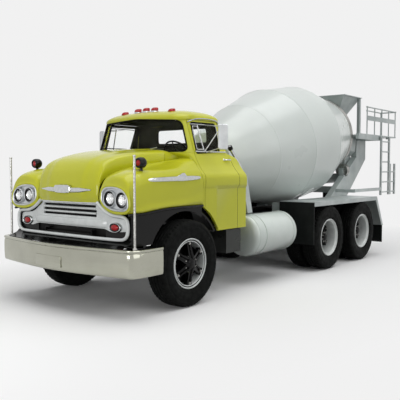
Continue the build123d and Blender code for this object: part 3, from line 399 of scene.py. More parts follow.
# off-white gloss enamel on the water tanks
TANK_WHITE = finish("tank_enamel", "#D2DBD5", "#DFE7E2", 0.4, (0.16, 0.26), coat=0.3,
                    relief=(0.02, 0.0003, 0.06))
# light grey enamel on welded plate: satin, scuffed where feet and hoses rub
GREY = finish("grey_enamel", "#AEB7B6", "#C6CDCB", 0.25, (0.28, 0.48), coat=0.1, relief=(0.02, 0.0004, 0.12))
# black chassis enamel: satin under a film of road dust
CHASSIS = finish("chassis_enamel", "#060606", "#11100F", 0.2, (0.35, 0.6), specular=0.12,
                 relief=(0.01, 0.0004, 0.25))
# dark grey-green enamel of the boxes below the cab
BOX_GREEN = finish("box_enamel", "#171A16", "#20241F", 0.2, (0.25, 0.4), specular=0.35,
                   relief=(0.03, 0.0004, 0.1))
# black painted cast iron of the wheel centres: the grain of sand casting shows under the paint
IRON = finish("cast_iron", "#030303", "#080808", 0.05, (0.16, 0.3), specular=0.14,
              relief=(0.004, 0.0006, 0.4))
# white enamel on rolled steel rims, a little dusty
RIM_WHITE = finish("wheel_enamel", "#D2D6D4", "#E6EAE8", 0.08, (0.2, 0.36), coat=0.2)
# white enamel on the pressed grille bars
GRILLE_WHITE = finish("grille_enamel", "#D6DAD9", "#E4E8E7", 0.1, (0.16, 0.28), coat=0.4,
                      relief=(0.01, 0.0002, 0.08))
# chromium plate on polished steel: a mirror with fine wiping marks
CHROME = finish("chrome", "#BFC1C2", "#CBCDCD", 0.03, (0.05, 0.12), metallic=1.0)
# chromium plate on the rolled bumper: softer, wiped in long marks; its darker, warmer grey than chrome is
# painted reflection of the dark floor it mirrors
BUMPER_CHROME = finish("bumper_chrome", "#A6A699", "#B1B1A4", 0.4, (0.08, 0.14), metallic=1.0)
# spun aluminium of the lamp bezels: pale and silky
ALLOY = finish("spun_aluminium", "#C2C5C7", "#D2D4D5", 0.1, (0.38, 0.5), metallic=0.75)
# silvered reflectors behind the lamp glass: brighter than chrome, facetted so that they sparkle
SILVER = ribbed(finish("silvered_reflector", "#F0F0F0", "#FFFFFF", 0.02, (0.1, 0.25), metallic=1.0), 0.014,
                0.003, 0.5)
# bare turned steel of rollers, nuts and pins
STEEL = finish("turned_steel", "#8E8C88", "#B9B9B6", 0.02, (0.22, 0.45), metallic=1.0)
# vulcanised tyre rubber: matt black, greyer where the road wears it
RUBBER = finish("tyre_rubber", "#0C0D0C", "#151615", 0.06, (0.55, 0.75), specular=0.06,
                relief=(0.004, 0.0004, 0.25))
# reinforced rubber board of the splash guards: charcoal, its 6 mm cloth weave drawn coarse enough to show
BOARD = ribbed(finish("board_rubber", "#171918", "#222524", 0.2, (0.45, 0.6), specular=0.12), 0.006, 0.0005,
               0.2)
# laminated flat glass: clear and hard, with the least film of dust
GLASS = clear(finish("window_glass", "#FBFDFC", "#FFFFFF", 0.3, (0.0, 0.015)), 1.0, 1.06)
# pressed lamp glass with 8 mm flutes that scatter the light
LAMP_CLEAR = clear(ribbed(finish("lamp_glass", "#F4F6F6", "#FFFFFF", 0.1, (0.02, 0.05)), 0.008, 0.001, 0.3),
                   0.9, 1.3)
# red moulded lens: glossy and deep, with a ribbed face
RED = ribbed(finish("red_lens", "#A0060C", "#C01016", 0.02, (0.08, 0.16), specular=0.35), 0.008, 0.001, 0.25)
# black vinyl upholstery, embossed with a 3 mm leather grain
VINYL = finish("seat_vinyl", "#110F0E", "#1F1C1A", 0.1, (0.4, 0.55), specular=0.35,
               relief=(0.003, 0.0006, 0.4))
# moulded black bakelite of the steering wheel, dulled by hands
BAKELITE = finish("bakelite", "#0C0C0C", "#181817", 0.03, (0.2, 0.35), specular=0.4)
# dark olive-grey inside the cab: painted shade, a darkened stand-in for the yellow enamel that lies in the
# cab's shade
INSIDE_SHADE = finish("inside_painted_shade", "#34342A", "#424234", 0.2, (0.6, 0.75), specular=0.25)


# ---- studio ----------------------------------------------------------------------------
PALE = "#F1F1F1"
# the lit floor gives way to the pale background over an oval round the truck
FADE_SCALE = (0.43, 0.19, 1.0)
FADE_FROM, FADE_TO = 1.0, 1.6
# name, strength, width in degrees, heading: wide, so that no enamel mirrors a glaring sun
SUNS = (
    ("overhead", 1.5, 60, (-0.12, -0.08, -1.0)),
    ("side_fill", 0.95, 60, (-1.0, 0.05, -0.3)),
)
# name, power in watts, width and length, place, heading
PANELS = (
    ("strip_side", 12.0, 0.2, 9.0, (5.2, 0.5, 4.6), (-0.8, 0.0, -0.5)),
    ("strip_top", 12.0, 0.2, 9.0, (1.6, -0.5, 6.2), (-0.2, 0.0, -1.0)),
    ("front_card", 110.0, 3.2, 1.8, (0.9, -9.4, 1.5), (-0.1, 1.0, 0.0)),
)
CAMERA_AT = (5.583, -8.331, 1.665)
CAMERA_YAW, CAMERA_PITCH = 0.678, -0.0548
LENS_MM = 52.98


def pale_rays(tree):
    """1 for the rays that show the background: the camera's own, those off metal and those through glass."""
    path = add(tree, "ShaderNodeLightPath")
    direct = add(tree, "ShaderNodeMath", {"operation": "MAXIMUM"},
                 {0: path.outputs["Is Camera Ray"], 1: path.outputs["Is Transmission Ray"]})
    seen = add(tree, "ShaderNodeMath", {"operation": "MAXIMUM"},
               {0: direct.outputs[0], 1: path.outputs["Is Glossy Ray"]})
    return seen.outputs[0]


def aimed(name, shown, heading, place=(0, 0, 0)):
    """A lamp or a camera put in its place and turned to its heading."""
    holder = linked(name, shown)
    holder.location = place
    holder.rotation_euler = Vector(heading).to_track_quat("-Z", "Y").to_euler()
    return holder


def build_floor():
    """A floor that takes the truck's shadow and gives way to the pale background further out."""
    floor = skin("floor", [[(-60, -60, 0), (60, -60, 0)], [(-60, 60, 0), (60, 60, 0)]])
    made = finish("studio_floor", "#7C7C7B", "#808080", 3.0, (0.6, 0.7), specular=0.1)
    tree = made.node_tree
    seen = pale_rays(tree)
    paper = add(tree, "ShaderNodeBsdfDiffuse", {"Color": linear("#FBFBFB")})
    lit = add(tree, "ShaderNodeMixShader", links={"Fac": seen})
    tree.links.new(tree.nodes["Principled BSDF"].outputs["BSDF"], lit.inputs[1])
    tree.links.new(paper.outputs["BSDF"], lit.inputs[2])
    glow = add(tree, "ShaderNodeEmission", {"Color": linear(PALE), "Strength": 1.0})
    place = add(tree, "ShaderNodeTexCoord")
    oval = add(tree, "ShaderNodeVectorMath", {"operation": "MULTIPLY", 1: FADE_SCALE},
               {0: place.outputs["Object"]})
    reach = add(tree, "ShaderNodeVectorMath", {"operation": "LENGTH"}, {0: oval.outputs["Vector"]})
    far = add(tree, "ShaderNodeMapRange", {"From Min": FADE_FROM, "From Max": FADE_TO},
              {"Value": reach.outputs["Value"]})
    shown = add(tree, "ShaderNodeMath", {"operation": "MULTIPLY"}, {0: far.outputs["Result"], 1: seen})
    mixed = add(tree, "ShaderNodeMixShader",
                links={0: shown.outputs[0], 1: lit.outputs[0], 2: glow.outputs[0]})
    tree.links.new(mixed.outputs[0], tree.nodes["Material Output"].inputs["Surface"])
    floor.data.materials.append(made)


def build_world(scene):
    """A soft sky that is a little brighter above, and a plain pale background where it is seen."""
    world = bpy.data.worlds.new("studio")
    scene.world = world
    world.use_nodes = True
    tree = world.node_tree
    tree.nodes.clear()
    seen = pale_rays(tree)
    place = add(tree, "ShaderNodeTexCoord")
    split = add(tree, "ShaderNodeSeparateXYZ", links={"Vector": place.outputs["Generated"]})
    height = add(tree, "ShaderNodeMapRange",
                 {"From Min": -0.05, "From Max": 0.7, "To Min": 0.16, "To Max": 0.26},
                 {"Value": split.outputs["Z"]})
    soft = add(tree, "ShaderNodeBackground", {"Color": linear("#F6F7F8")},
               {"Strength": height.outputs["Result"]})
    pale = add(tree, "ShaderNodeBackground", {"Color": linear(PALE), "Strength": 1.0})
    mixed = add(tree, "ShaderNodeMixShader", links={0: seen, 1: soft.outputs[0], 2: pale.outputs[0]})
    add(tree, "ShaderNodeOutputWorld", links={"Surface": mixed.outputs[0]})


def build_lights():
    """Two broad suns for the even level, two strips for long highlights and a card before the nose."""
    for name, power, width, heading in SUNS:
        lamp = bpy.data.lights.new(name, "SUN")
        lamp.energy = power
        lamp.angle = math.radians(width)
        aimed(name, lamp, heading)
    for name, power, width, length, place, heading in PANELS:
        lamp = bpy.data.lights.new(name, "AREA")
        lamp.shape = "RECTANGLE"
        lamp.size = width
        lamp.size_y = length
        lamp.energy = power
        aimed(name, lamp, heading, place)


def build_studio():
    """Pale floor and background, soft light and the camera."""
    scene = bpy.context.scene
    scene.view_settings.view_transform = "Standard"
    build_floor()
    build_world(scene)
    build_lights()
    lens = bpy.data.cameras.new("camera")
    lens.lens = LENS_MM
    lens.sensor_width = 36.0
    lens.clip_end = 400
    flat = math.cos(CAMERA_PITCH)
    heading = (-math.sin(CAMERA_YAW) * flat, math.cos(CAMERA_YAW) * flat, math.sin(CAMERA_PITCH))
    scene.camera = aimed("camera", lens, heading, CAMERA_AT)


# ---- wheels and tyres ------------------------------------------------------------------
TYRE_HALF = 0.1325
TYRE_R = 0.525
BEAD_R = 0.2895
RIM_HALF = 0.1025
LIP = 0.016
RIM_R = 0.302
WELL_R = 0.262
FRONT_HUB_R, FRONT_HUB_LENGTH = 0.116, 0.195
REAR_HUB_R, REAR_HUB_LENGTH = 0.092, 0.25


def tread_depth(across, turn):
    """How deep the tread is cut: three zigzag grooves and short slots in the shoulders."""
    wave = abs(((turn * 45 / math.pi) % 2) - 1) * 2 - 1
    for middle in (-0.046, 0.0, 0.046):
        if abs(across - middle - wave * 0.005) < 0.0052:
            return 0.013
    if abs(across) > 0.078:
        return 0.011 if ((turn * 30 / math.pi) % 1) < 0.34 else 0.0
    return 0.0


def tyre_mesh(name, centre):
    """One tyre with its sidewall ribs and cut tread."""
    half = TYRE_HALF
    wall = [(-RIM_HALF + 0.004, BEAD_R), (-RIM_HALF - 0.004, 0.300), (-RIM_HALF - 0.012, 0.308),
            (-half + 0.016, 0.318),
            (-half + 0.012, 0.322), (-half + 0.008, 0.338), (-half + 0.0045, 0.342), (-half + 0.003, 0.365),
            (-half + 0.0005, 0.369), (-half, 0.405), (-half + 0.001, 0.436), (-half + 0.0045, 0.440),
            (-half + 0.005, 0.462), (-half + 0.0025, 0.465), (-half + 0.004, 0.480), (-half + 0.012, 0.497),
            (-half + 0.019, 0.508)]
    steps = 34
    tread = []
    for k in range(steps + 1):
        x = -0.110 + 0.220 * k / steps
        crown = TYRE_R - 0.007 * (x / 0.110) ** 2 - (0.004 if abs(x) > 0.107 else 0)
        tread.append((x, crown))
    profile = wall + tread + [(-x, r) for x, r in reversed(wall)]
    segments = 200
    rows = []
    for x, r in profile:
        row = []
        for a in around(segments):
            cut = tread_depth(x, a) if r > 0.512 else 0.0
            row.append(Vector(centre) + Vector((x, math.cos(a) * (r - cut), math.sin(a) * (r - cut))))
        rows.append(row)
    return skin(name, rows, ring=True)


def rim_profile():
    """Across the rim: rolled lips, bead seats and the well, as a closed section."""
    lip = RIM_HALF + LIP
    outer = [(-lip + 0.004, RIM_R), (-lip, RIM_R - 0.006), (-lip, RIM_R - 0.012),
             (-lip + 0.005, RIM_R - 0.016),
             (-RIM_HALF + 0.002, RIM_R - 0.018), (-RIM_HALF + 0.006, RIM_R - 0.028),
             (-RIM_HALF + 0.004, WELL_R + 0.010),
             (-RIM_HALF + 0.010, WELL_R + 0.004), (-RIM_HALF + 0.020, WELL_R)]
    back = [(-RIM_HALF + 0.004, RIM_R - 0.001), (-RIM_HALF + 0.006, BEAD_R - 0.003),
            (-RIM_HALF + 0.03, BEAD_R - 0.006)]
    near = outer + [(-x, r) for x, r in reversed(outer)]
    far = [(-x, r) for x, r in back] + [(x, r) for x, r in reversed(back)]
    return near + far


def spoke(name, start, reach, width, depth, taper):
    """One cast spoke that stands up along Z from the hub, with a channel down its face."""
    rows = []
    for k, share in enumerate((0.0, 0.3, 0.6, 0.85, 1.0)):
        z = start + (reach - start) * share
        w = width / 2 * (1.25, 1.0, 0.86, 0.95, 1.2)[k]
        d = depth / 2
        push = taper * (1 - share) ** 1.5
        rows.append([Vector((d + push, -w, z)), Vector((d + push, -w * 0.45, z)),
                     Vector((d * 0.45 + push, -w * 0.25, z)),
                     Vector((d * 0.45 + push, w * 0.25, z)), Vector((d + push, w * 0.45, z)),
                     Vector((d + push, w, z)),
                     Vector((-d + push, w * 0.85, z)), Vector((-d + push, -w * 0.85, z))])
    return skin(name, rows, ring=True, caps=True)


def bolt(name, centre, radius, height, outward):
    """Hexagon nut with a domed stud end."""
    x = centre[0]
    rows = []
    for along, r in ((0, 1.0), (height * 0.75, 1.0), (height, 0.86)):
        rows.append([Vector((x + outward * along, centre[1] + math.cos(a) * radius * r,
                             centre[2] + math.sin(a) * radius * r))
                     for a in (math.pi / 3 * s for s in range(6))])
    nut = skin(name, rows, ring=True, caps=True)
    stud = turned(name + "_stud", [(0, radius * 0.5), (outward * height * 1.35, radius * 0.48),
                                   (outward * height * 1.55, radius * 0.3), (outward * height * 1.6, 0)],
                  centre, segments=12)
    return joined(name, [nut, stud])


def turned_wheel(parts, centre):
    """Moves parts drawn round the X axis to the wheel's centre."""
    for part in parts:
        part.data.transform(Matrix.Translation(Vector(centre)))
    return parts


def spider_parts(name, spoke_x, face_x, outward, hub_r, reach, hub_length):
    """Spoke wheel centre drawn about the X axis: spokes, hub barrel, cap and their nuts."""
    iron = []
    nuts = []
    for k in range(6):
        arm = spoke("%s_spoke_%d" % (name, k), 0.05, reach, 0.084, 0.060, 0.05)
        if outward < 0:
            arm.data.transform(Matrix.Scale(-1, 4, (1, 0, 0)))
            arm.data.flip_normals()
        turn = Matrix.Rotation(math.radians(60 * k), 4, "X")
        arm.data.transform(turn @ Matrix.Translation((spoke_x, 0, 0)))
        iron.append(arm)
        foot = box("%s_foot_%d" % (name, k), (spoke_x - 0.028, -0.034, reach - 0.045),
                   (spoke_x + 0.028, 0.034, reach), 0.008)
        foot.data.transform(turn)
        iron.append(foot)
        nut = bolt("%s_nut_%d" % (name, k), (spoke_x + outward * 0.026, 0, reach - 0.024), 0.018, 0.018,
                   outward)
        nut.data.transform(turn)
        nuts.append(nut)
    barrel = [(0.0, 0.0), (0.0, hub_r * 0.98), (-0.01, hub_r), (-0.045, hub_r), (-0.055, hub_r * 0.9),
              (-hub_length, hub_r * 0.9), (-hub_length, 0.0)]
    iron.append(turned(name + "_barrel", [(face_x + outward * along, r) for along, r in barrel], (0, 0, 0),
                       segments=48))
    cap = [(0.0, hub_r * 0.72), (0.010, hub_r * 0.72), (0.012, hub_r * 0.62), (0.028, hub_r * 0.55),
           (0.036, hub_r * 0.4),
           (0.038, 0.0)]
    iron.append(turned(name + "_cap", [(face_x + outward * along, r) for along, r in cap], (0, 0, 0),
                       segments=48))
    for k in range(8):
        a = 2 * math.pi * (k + 0.5) / 8
        nuts.append(bolt("%s_hub_nut_%d" % (name, k),
                         (face_x, math.cos(a) * hub_r * 0.84, math.sin(a) * hub_r * 0.84),
                         0.0115, 0.014, outward))
    return iron, nuts


def build_front_wheel(side, name):
    """Steered wheel: tyre, rim with its gap ring, spoke centre, brake drum and nuts."""
    low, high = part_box("front_tyre_" + name)
    centre = (low + high) / 2
    tyre = tyre_mesh("front_tyre_%s_tread" % name, centre)
    dress(tyre, RUBBER, "front_wheel_" + name, "tyre_rubber", "front_tyre_" + name)
    rim = turned("front_rim_" + name, rim_profile(), centre, segments=96, closed=True)
    bead = [(side * (RIM_HALF - 0.002) + 0.0065 * math.cos(a), 0.2665 + 0.0065 * math.sin(a))
            for a in around(12)]
    dress(joined("front_rims_" + name, [rim, turned("ring", bead, centre, segments=96, closed=True)]),
          RIM_WHITE,
          "front_wheel_" + name, "wheel_paint", "front_wheel_" + name)
    iron, nuts = spider_parts("front_" + name, side * (RIM_HALF - 0.040), side * (RIM_HALF + 0.004), side,
                              FRONT_HUB_R, WELL_R + 0.001, FRONT_HUB_LENGTH)
    gap = [(side * (RIM_HALF - 0.004), 0.2745), (side * (RIM_HALF + 0.0015), 0.2745),
           (side * (RIM_HALF + 0.0015), 0.2850),
           (side * (RIM_HALF - 0.004), 0.2850)]
    iron.append(turned("gap_ring", gap, (0, 0, 0), segments=96, closed=True))
    drum = [(0.030, 0.080), (0.030, 0.215), (0.024, 0.232), (0.010, 0.238), (-0.050, 0.238), (-0.052, 0.230),
            (-0.050, 0.222), (0.016, 0.215), (0.018, 0.085)]
    iron.append(turned("brake_drum", [(side * along, r) for along, r in drum], (0, 0, 0), segments=64,
                       closed=True))
    turned_wheel(iron + nuts, centre)
    dress(joined("front_spider_" + name, iron), IRON, "front_wheel_" + name, "chassis_paint")
    dress(joined("front_nuts_" + name, nuts), STEEL, "front_wheel_" + name, "bright_metal")


def build_rear_wheel(side, name, index):
    """Twin wheels of one axle end: two tyres, two rims, the spacer between them and the spoke centre."""
    body = "rear_wheel_%d_%s" % (index, name)
    low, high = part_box("rear_tyres_%d_%s" % (index, name))
    axle = (low + high) / 2
    outer = high.x - TYRE_HALF if side > 0 else low.x + TYRE_HALF
    inner = low.x + TYRE_HALF if side > 0 else high.x - TYRE_HALF
    tyres = [tyre_mesh("%s_tyre_%d" % (body, k), (x, axle.y, axle.z)) for k, x in enumerate((outer, inner))]
    dress(joined(body + "_tyres", tyres), RUBBER, body, "tyre_rubber", "rear_tyres_%d_%s" % (index, name))
    parts = [turned("%s_rim_%d" % (body, k), rim_profile(), (x, axle.y, axle.z), segments=96, closed=True)
             for k, x in enumerate((outer, inner))]
    spacer = [(-0.042, WELL_R), (0.042, WELL_R), (0.042, WELL_R + 0.01), (-0.042, WELL_R + 0.01)]
    parts.append(turned(body + "_spacer", spacer, ((outer + inner) / 2, axle.y, axle.z), segments=64,
                        closed=True))
    dress(joined(body + "_rims", parts), RIM_WHITE, body, "wheel_paint", body)
    middle = (outer + inner) / 2 + side * 0.07
    iron, nuts = spider_parts(body, middle - axle.x, middle - axle.x + side * 0.10, side, REAR_HUB_R,
                              WELL_R + 0.001, REAR_HUB_LENGTH)
    turned_wheel(iron + nuts, axle)
    dress(joined(body + "_spider", iron), IRON, body, "chassis_paint")
    dress(joined(body + "_nuts", nuts), STEEL, body, "bright_metal")


def build_wheels():
    """Every wheel of the truck, side by side."""
    for side, name in SIDES:
        build_front_wheel(side, name)
        for index in (1, 2):
            build_rear_wheel(side, name, index)


# ---- hood, fenders and cowl --------------------------------------------------------------
# y and z of the hood's crown, x y z of its edge, and how square the roll between them is
HOOD_ROWS = (
    (-0.928, 1.272, 0.535, -0.900, 1.280, 2.8),
    (-0.950, 1.330, 0.541, -0.915, 1.336, 3.0),
    (-0.955, 1.420, 0.545, -0.912, 1.424, 3.2),
    (-0.942, 1.520, 0.546, -0.895, 1.508, 3.6),
    (-0.895, 1.645, 0.546, -0.858, 1.585, 4.0),
    (-0.802, 1.752, 0.546, -0.795, 1.650, 4.6),
    (-0.620, 1.820, 0.548, -0.650, 1.706, 5.0),
    (-0.350, 1.868, 0.560, -0.350, 1.745, 5.4),
    (-0.050, 1.892, 0.580, -0.050, 1.775, 5.6),
    (0.122, 1.903, 0.600, 0.122, 1.792, 5.6),
)
COWL_ROWS = (
    (0.128, 1.904, 0.601, 0.128, 1.781, 5.0),
    (0.170, 1.905, 0.606, 0.180, 1.785, 5.0),
    (0.215, 1.896, 0.620, 0.250, 1.790, 4.6),
    (0.235, 1.870, 0.650, 0.330, 1.795, 4.2),
)


def crowned_row(row, lip, count=18):
    """One row across the hood, from its left skirt over the crown to its right skirt."""
    y_c, z_c, w, y_e, z_e, n = row
    rise = min(1.0, max(0.0, (z_c - 1.50) / 0.28)) * math.pi / 2
    half = []
    for k in range(count + 1):
        s = math.sin(math.pi / 2 * k / count)
        f = max(0.0, 1 - s ** n) ** (1 / n)
        step = min(1.0, max(0.0, (0.37 - w * s) / 0.07))
        panel = 0.013 * step * step * (3 - 2 * step)
        half.append(Vector((w * s, y_e + (y_c - y_e) * f - panel * math.cos(rise) + 0.006,
                            z_e + (z_c - z_e) * f + panel * math.sin(rise) - 0.006)))
    half.append(Vector((w - 0.004, y_e, z_e - lip * 0.5)))
    half.append(Vector((w - 0.012, y_e, z_e - lip)))
    return [at(-p.x, p.y, p.z) for p in reversed(half[1:])] + [at(*p) for p in half]


def crowned_skin(name, rows, lips, along=5):
    """A sheet drawn smoothly over rows of the hood's table, each with the depth of its turned-down lip."""
    fine = [crowned_row(row, lip) for row, lip in zip(rows, lips)]
    columns = [through([row[c] for row in fine], along) for c in range(len(fine[0]))]
    return skin(name, [[column[r] for column in columns] for r in range(len(columns[0]))])


def build_hood():
    """Hood, fixed cowl behind it, and the chrome lip, wing and blank shield on its nose."""
    lips = [0.012, 0.03, 0.05, 0.07, 0.09, 0.1, 0.1, 0.1, 0.1, 0.1]
    hood = thick(crowned_skin("hood_panel", HOOD_ROWS, lips), 0.012)
    soften(hood, 40)
    dress(hood, YELLOW, "hood", "cab_paint", "hood")
    cowl = thick(crowned_skin("cowl_panel", COWL_ROWS, [0.09] * 4, 4), 0.02)
    soften(cowl, 40)
    dress(cowl, YELLOW, "chassis", "cab_paint")
    edge = [crowned_row(HOOD_ROWS[0], 0.012)[k] + Vector((0, -0.004, -0.004)) for k in range(2, 37)]
    lip = tube("hood_lip", edge, 0.009, 10, 2)
    wing = []
    for k in range(41):
        x = -0.45 + 0.90 * k / 40
        share = 1 - abs(x) / 0.45
        tall = 0.008 + 0.022 * min(1.0, share * 2.6)
        deep = 0.012 + 0.016 * min(1.0, share * 4)
        y, z = -0.972 + 0.030 * (x / 0.45) ** 2, 1.403 + 0.010 * (1 - share)
        wing.append([at(x, y - deep * max(0.0, math.cos(a)), z + tall * math.sin(a))
                     for a in around(16)])
    bar = skin("hood_wing", wing, ring=True, caps=True)
    badge = []
    for grow, y in ((1.0, -0.975), (1.0, -1.002), (0.88, -1.012), (0.5, -1.018), (0.02, -1.019)):
        badge.append([at(0.150 * grow * math.copysign(abs(math.cos(a)) ** 0.55, math.cos(a)), y,
                         1.418 + 0.050 * grow * math.copysign(abs(math.sin(a)) ** 0.6, math.sin(a)))
                      for a in around(48)])
    shield = skin("hood_badge_blank", badge, ring=True, caps=True)
    dress(joined("hood_brightwork", [lip, bar, shield]), CHROME, "hood", "bright_metal")


# outline of the lamp housing, x and z, from its inner end over the top
LAMP_RIM = ((.600, 1.330), (.612, 1.400), (.660, 1.440), (.750, 1.452), (.860, 1.447), (.960, 1.420),
            (1.030, 1.360),
            (1.056, 1.290), (1.048, 1.230), (.992, 1.196), (.880, 1.190), (.760, 1.204), (.662, 1.242),
            (.612, 1.288))
# y, then x and z of the fender's ring in the same order
FENDER_RINGS = (
    (-.969, ((.562, 1.340), (.572, 1.430), (.635, 1.510), (.750, 1.548), (.870, 1.550), (.970, 1.525),
             (1.045, 1.450),
             (1.072, 1.330), (1.068, 1.225), (1.020, 1.166), (.880, 1.160), (.730, 1.178), (.620, 1.218),
             (.575, 1.270))),
    (-.930, ((.554, 1.340), (.561, 1.450), (.620, 1.545), (.750, 1.583), (.870, 1.584), (.975, 1.560),
             (1.052, 1.480),
             (1.074, 1.340), (1.072, 1.225), (1.040, 1.168), (.880, 1.162), (.720, 1.175), (.600, 1.212),
             (.558, 1.266))),
    (-.853, ((.552, 1.350), (.555, 1.470), (.610, 1.575), (.750, 1.612), (.870, 1.613), (.980, 1.590),
             (1.055, 1.500),
             (1.073, 1.360), (1.072, 1.238), (1.060, 1.172), (.880, 1.166), (.700, 1.176), (.580, 1.210),
             (.553, 1.264))),
    (-.738, ((.553, 1.370), (.556, 1.500), (.610, 1.610), (.750, 1.641), (.870, 1.640), (.985, 1.612),
             (1.056, 1.520),
             (1.070, 1.380), (1.072, 1.250), (1.065, 1.172), (.880, 1.165), (.700, 1.170), (.580, 1.200),
             (.554, 1.270))),
    (-.594, ((.560, 1.390), (.563, 1.530), (.615, 1.645), (.750, 1.664), (.870, 1.655), (.985, 1.622),
             (1.054, 1.530),
             (1.068, 1.400), (1.070, 1.270), (1.065, 1.185), (.880, 1.178), (.700, 1.180), (.585, 1.200),
             (.561, 1.280))),
    (-.350, ((.572, 1.400), (.576, 1.560), (.630, 1.690), (.760, 1.692), (.880, 1.668), (.985, 1.628),
             (1.050, 1.540),
             (1.064, 1.410), (1.066, 1.280), (1.062, 1.205), (.880, 1.200), (.720, 1.200), (.600, 1.200),
             (.574, 1.280))),
    (.000, ((.594, 1.420), (.598, 1.600), (.655, 1.733), (.790, 1.728), (.900, 1.690), (.985, 1.640),
            (1.045, 1.555),
            (1.056, 1.430), (1.058, 1.300), (1.054, 1.212), (.880, 1.205), (.740, 1.205), (.620, 1.205),
            (.596, 1.290))),
    (.343, ((.620, 1.440), (.624, 1.640), (.690, 1.778), (.810, 1.785), (.895, 1.745), (.960, 1.665),
            (1.015, 1.595),
            (1.045, 1.500), (1.042, 1.380), (1.040, 1.212), (.880, 1.205), (.750, 1.205), (.640, 1.205),
            (.620, 1.300))),
)


def lamp_sweep(x):
    """How far the lamp housing's face lies behind the fender's brow, from its inner to its outer end."""
    return 0.062 - 0.030 * min(1.0, max(0.0, (x - 0.6) / 0.46))


def grown(outline, out):
    """The outline moved outward from its middle."""
    mx = sum(p[0] for p in outline) / len(outline)
    mz = sum(p[1] for p in outline) / len(outline)
    moved = []
    for x, z in outline:
        away = Vector((x - mx, (z - mz) * 1.5))
        away.normalize()
        moved.append((x + away.x * out, z + away.y * out))
    return moved


def build_fender(side, name):
    """Front fender with the brow round its lamps, drawn on the left and mirrored for the right."""
    rings = []
    for y, out in ((-.925, -.002), (-.975, .000), (-.990, .010), (-.990, .022), (-.984, .036)):
        rings.append([at(x, y + lamp_sweep(x), z) for x, z in grown(LAMP_RIM, out)])
    for y, ring in FENDER_RINGS:
        fade = max(0.0, 1 - (y + 0.969) / 0.3)
        rings.append([at(x, y + lamp_sweep(x) * fade, z) for x, z in ring])
    fender = smooth_skin("front_fender_" + name, rings, 5, 4, ring=True)
    if side < 0:
        drawn = fender
        drawn.name = "fender_form"
        fender = mirrored(drawn, "front_fender_" + name)
        bpy.data.objects.remove(drawn)
    soften(fender, 50)
    dress(fender, YELLOW, "chassis", "cab_paint", "front_fenders")


# ---- cab ---------------------------------------------------------------------------------
# height, half-width, front, rear, bow of the front, front corner across and back, rear corner
CAB_LEVELS = (
    (0.856, 1.034, 0.347, 1.330, 0.000, 0.012, 0.012, 0.030),
    (1.375, 1.034, 0.347, 1.330, 0.000, 0.012, 0.012, 0.030),
    (1.405, 1.036, 0.347, 1.330, 0.000, 0.012, 0.012, 0.030),
    (1.435, 1.043, 0.347, 1.330, 0.000, 0.012, 0.012, 0.032),
    (1.490, 1.047, 0.347, 1.330, 0.000, 0.012, 0.012, 0.036),
    (1.545, 1.044, 0.347, 1.330, 0.000, 0.015, 0.015, 0.040),
    (1.585, 1.026, 0.347, 1.330, 0.000, 0.020, 0.020, 0.045),
    (1.625, 0.992, 0.347, 1.330, 0.000, 0.025, 0.025, 0.050),
    (1.690, 0.942, 0.347, 1.330, 0.000, 0.030, 0.030, 0.055),
    (1.750, 0.908, 0.345, 1.328, 0.000, 0.040, 0.030, 0.060),
    (1.795, 0.886, 0.325, 1.312, 0.000, 0.090, 0.055, 0.080),
    (1.825, 0.870, 0.262, 1.268, 0.014, 0.170, 0.115, 0.110),
    (1.850, 0.860, 0.212, 1.205, 0.028, 0.230, 0.172, 0.140),
    (1.880, 0.852, 0.208, 1.190, 0.028, 0.230, 0.172, 0.150),
    (2.060, 0.798, 0.230, 1.168, 0.029, 0.225, 0.168, 0.150),
    (2.245, 0.743, 0.253, 1.150, 0.030, 0.220, 0.160, 0.150),
    (2.280, 0.742, 0.236, 1.152, 0.034, 0.220, 0.165, 0.155),
    (2.315, 0.744, 0.236, 1.148, 0.040, 0.225, 0.175, 0.165),
    (2.350, 0.722, 0.262, 1.130, 0.045, 0.240, 0.190, 0.190),
    (2.390, 0.650, 0.330, 1.075, 0.050, 0.250, 0.200, 0.230),
    (2.418, 0.520, 0.440, 0.980, 0.050, 0.230, 0.190, 0.220),
    (2.430, 0.330, 0.570, 0.870, 0.030, 0.160, 0.110, 0.130),
)


def cab_ring(level, inset=0.0):
    """The cab's plan at one height: bowed front, corners, straight sides and back."""
    z, w, front, rear, bow, across, deep, back = level
    w, front, rear = w - inset, front + inset, rear - inset
    z -= inset * max(0.0, (z - 2.25) / 0.18)
    right = [(x, front + bow * (x / (w - across)) ** 2) for x in ((w - across) * k / 7 for k in range(8))]
    for k in range(1, 7):
        t = math.pi / 2 * k / 6
        right.append((w - across + across * math.sin(t), front + bow + deep - deep * math.cos(t)))
    start, end = front + bow + deep, rear - back
    right += [(w, start + (end - start) * k / 9) for k in range(1, 9)]
    for k in range(0, 8):
        t = math.pi / 2 * k / 7
        right.append((w - back + back * math.cos(t), rear - back + back * math.sin(t)))
    right += [((w - back) * (1 - k / 5), rear) for k in range(1, 6)]
    left = [(-x, y) for x, y in reversed(right[1:-1])]
    return [at(x, y, z) for x, y in right + left]


def cab_form(name, inset=0.0):
    """The cab as a solid, or the same solid drawn in by a distance and a little lower at its foot."""
    rows = [cab_ring(level, inset) for level in CAB_LEVELS]
    if inset:
        rows[0] = [p - Vector((0, 0, 0.03)) for p in rows[0]]
    columns = [through([row[c] for row in rows], 4) for c in range(len(rows[0]))]
    fine = [[column[r] for column in columns] for r in range(len(columns[0]))]
    top, foot = fine[-1], fine[0]
    middle, sole = sum(top, Vector()) / len(top), sum(foot, Vector()) / len(foot)
    fine = [[sole] * len(foot)] + fine
    fine += [[p.lerp(middle, share) + Vector((0, 0, 0.003 * share)) for p in top] for share in (0.5, 1.0)]
    form = skin(name, fine, ring=True)
    closed_tips(form)
    return form


def cab_layer(name, outside, inside):
    """The sheet between two distances in from the cab's surface."""
    return carved(cab_form(name, outside), cab_form(name + "_hollow", inside))


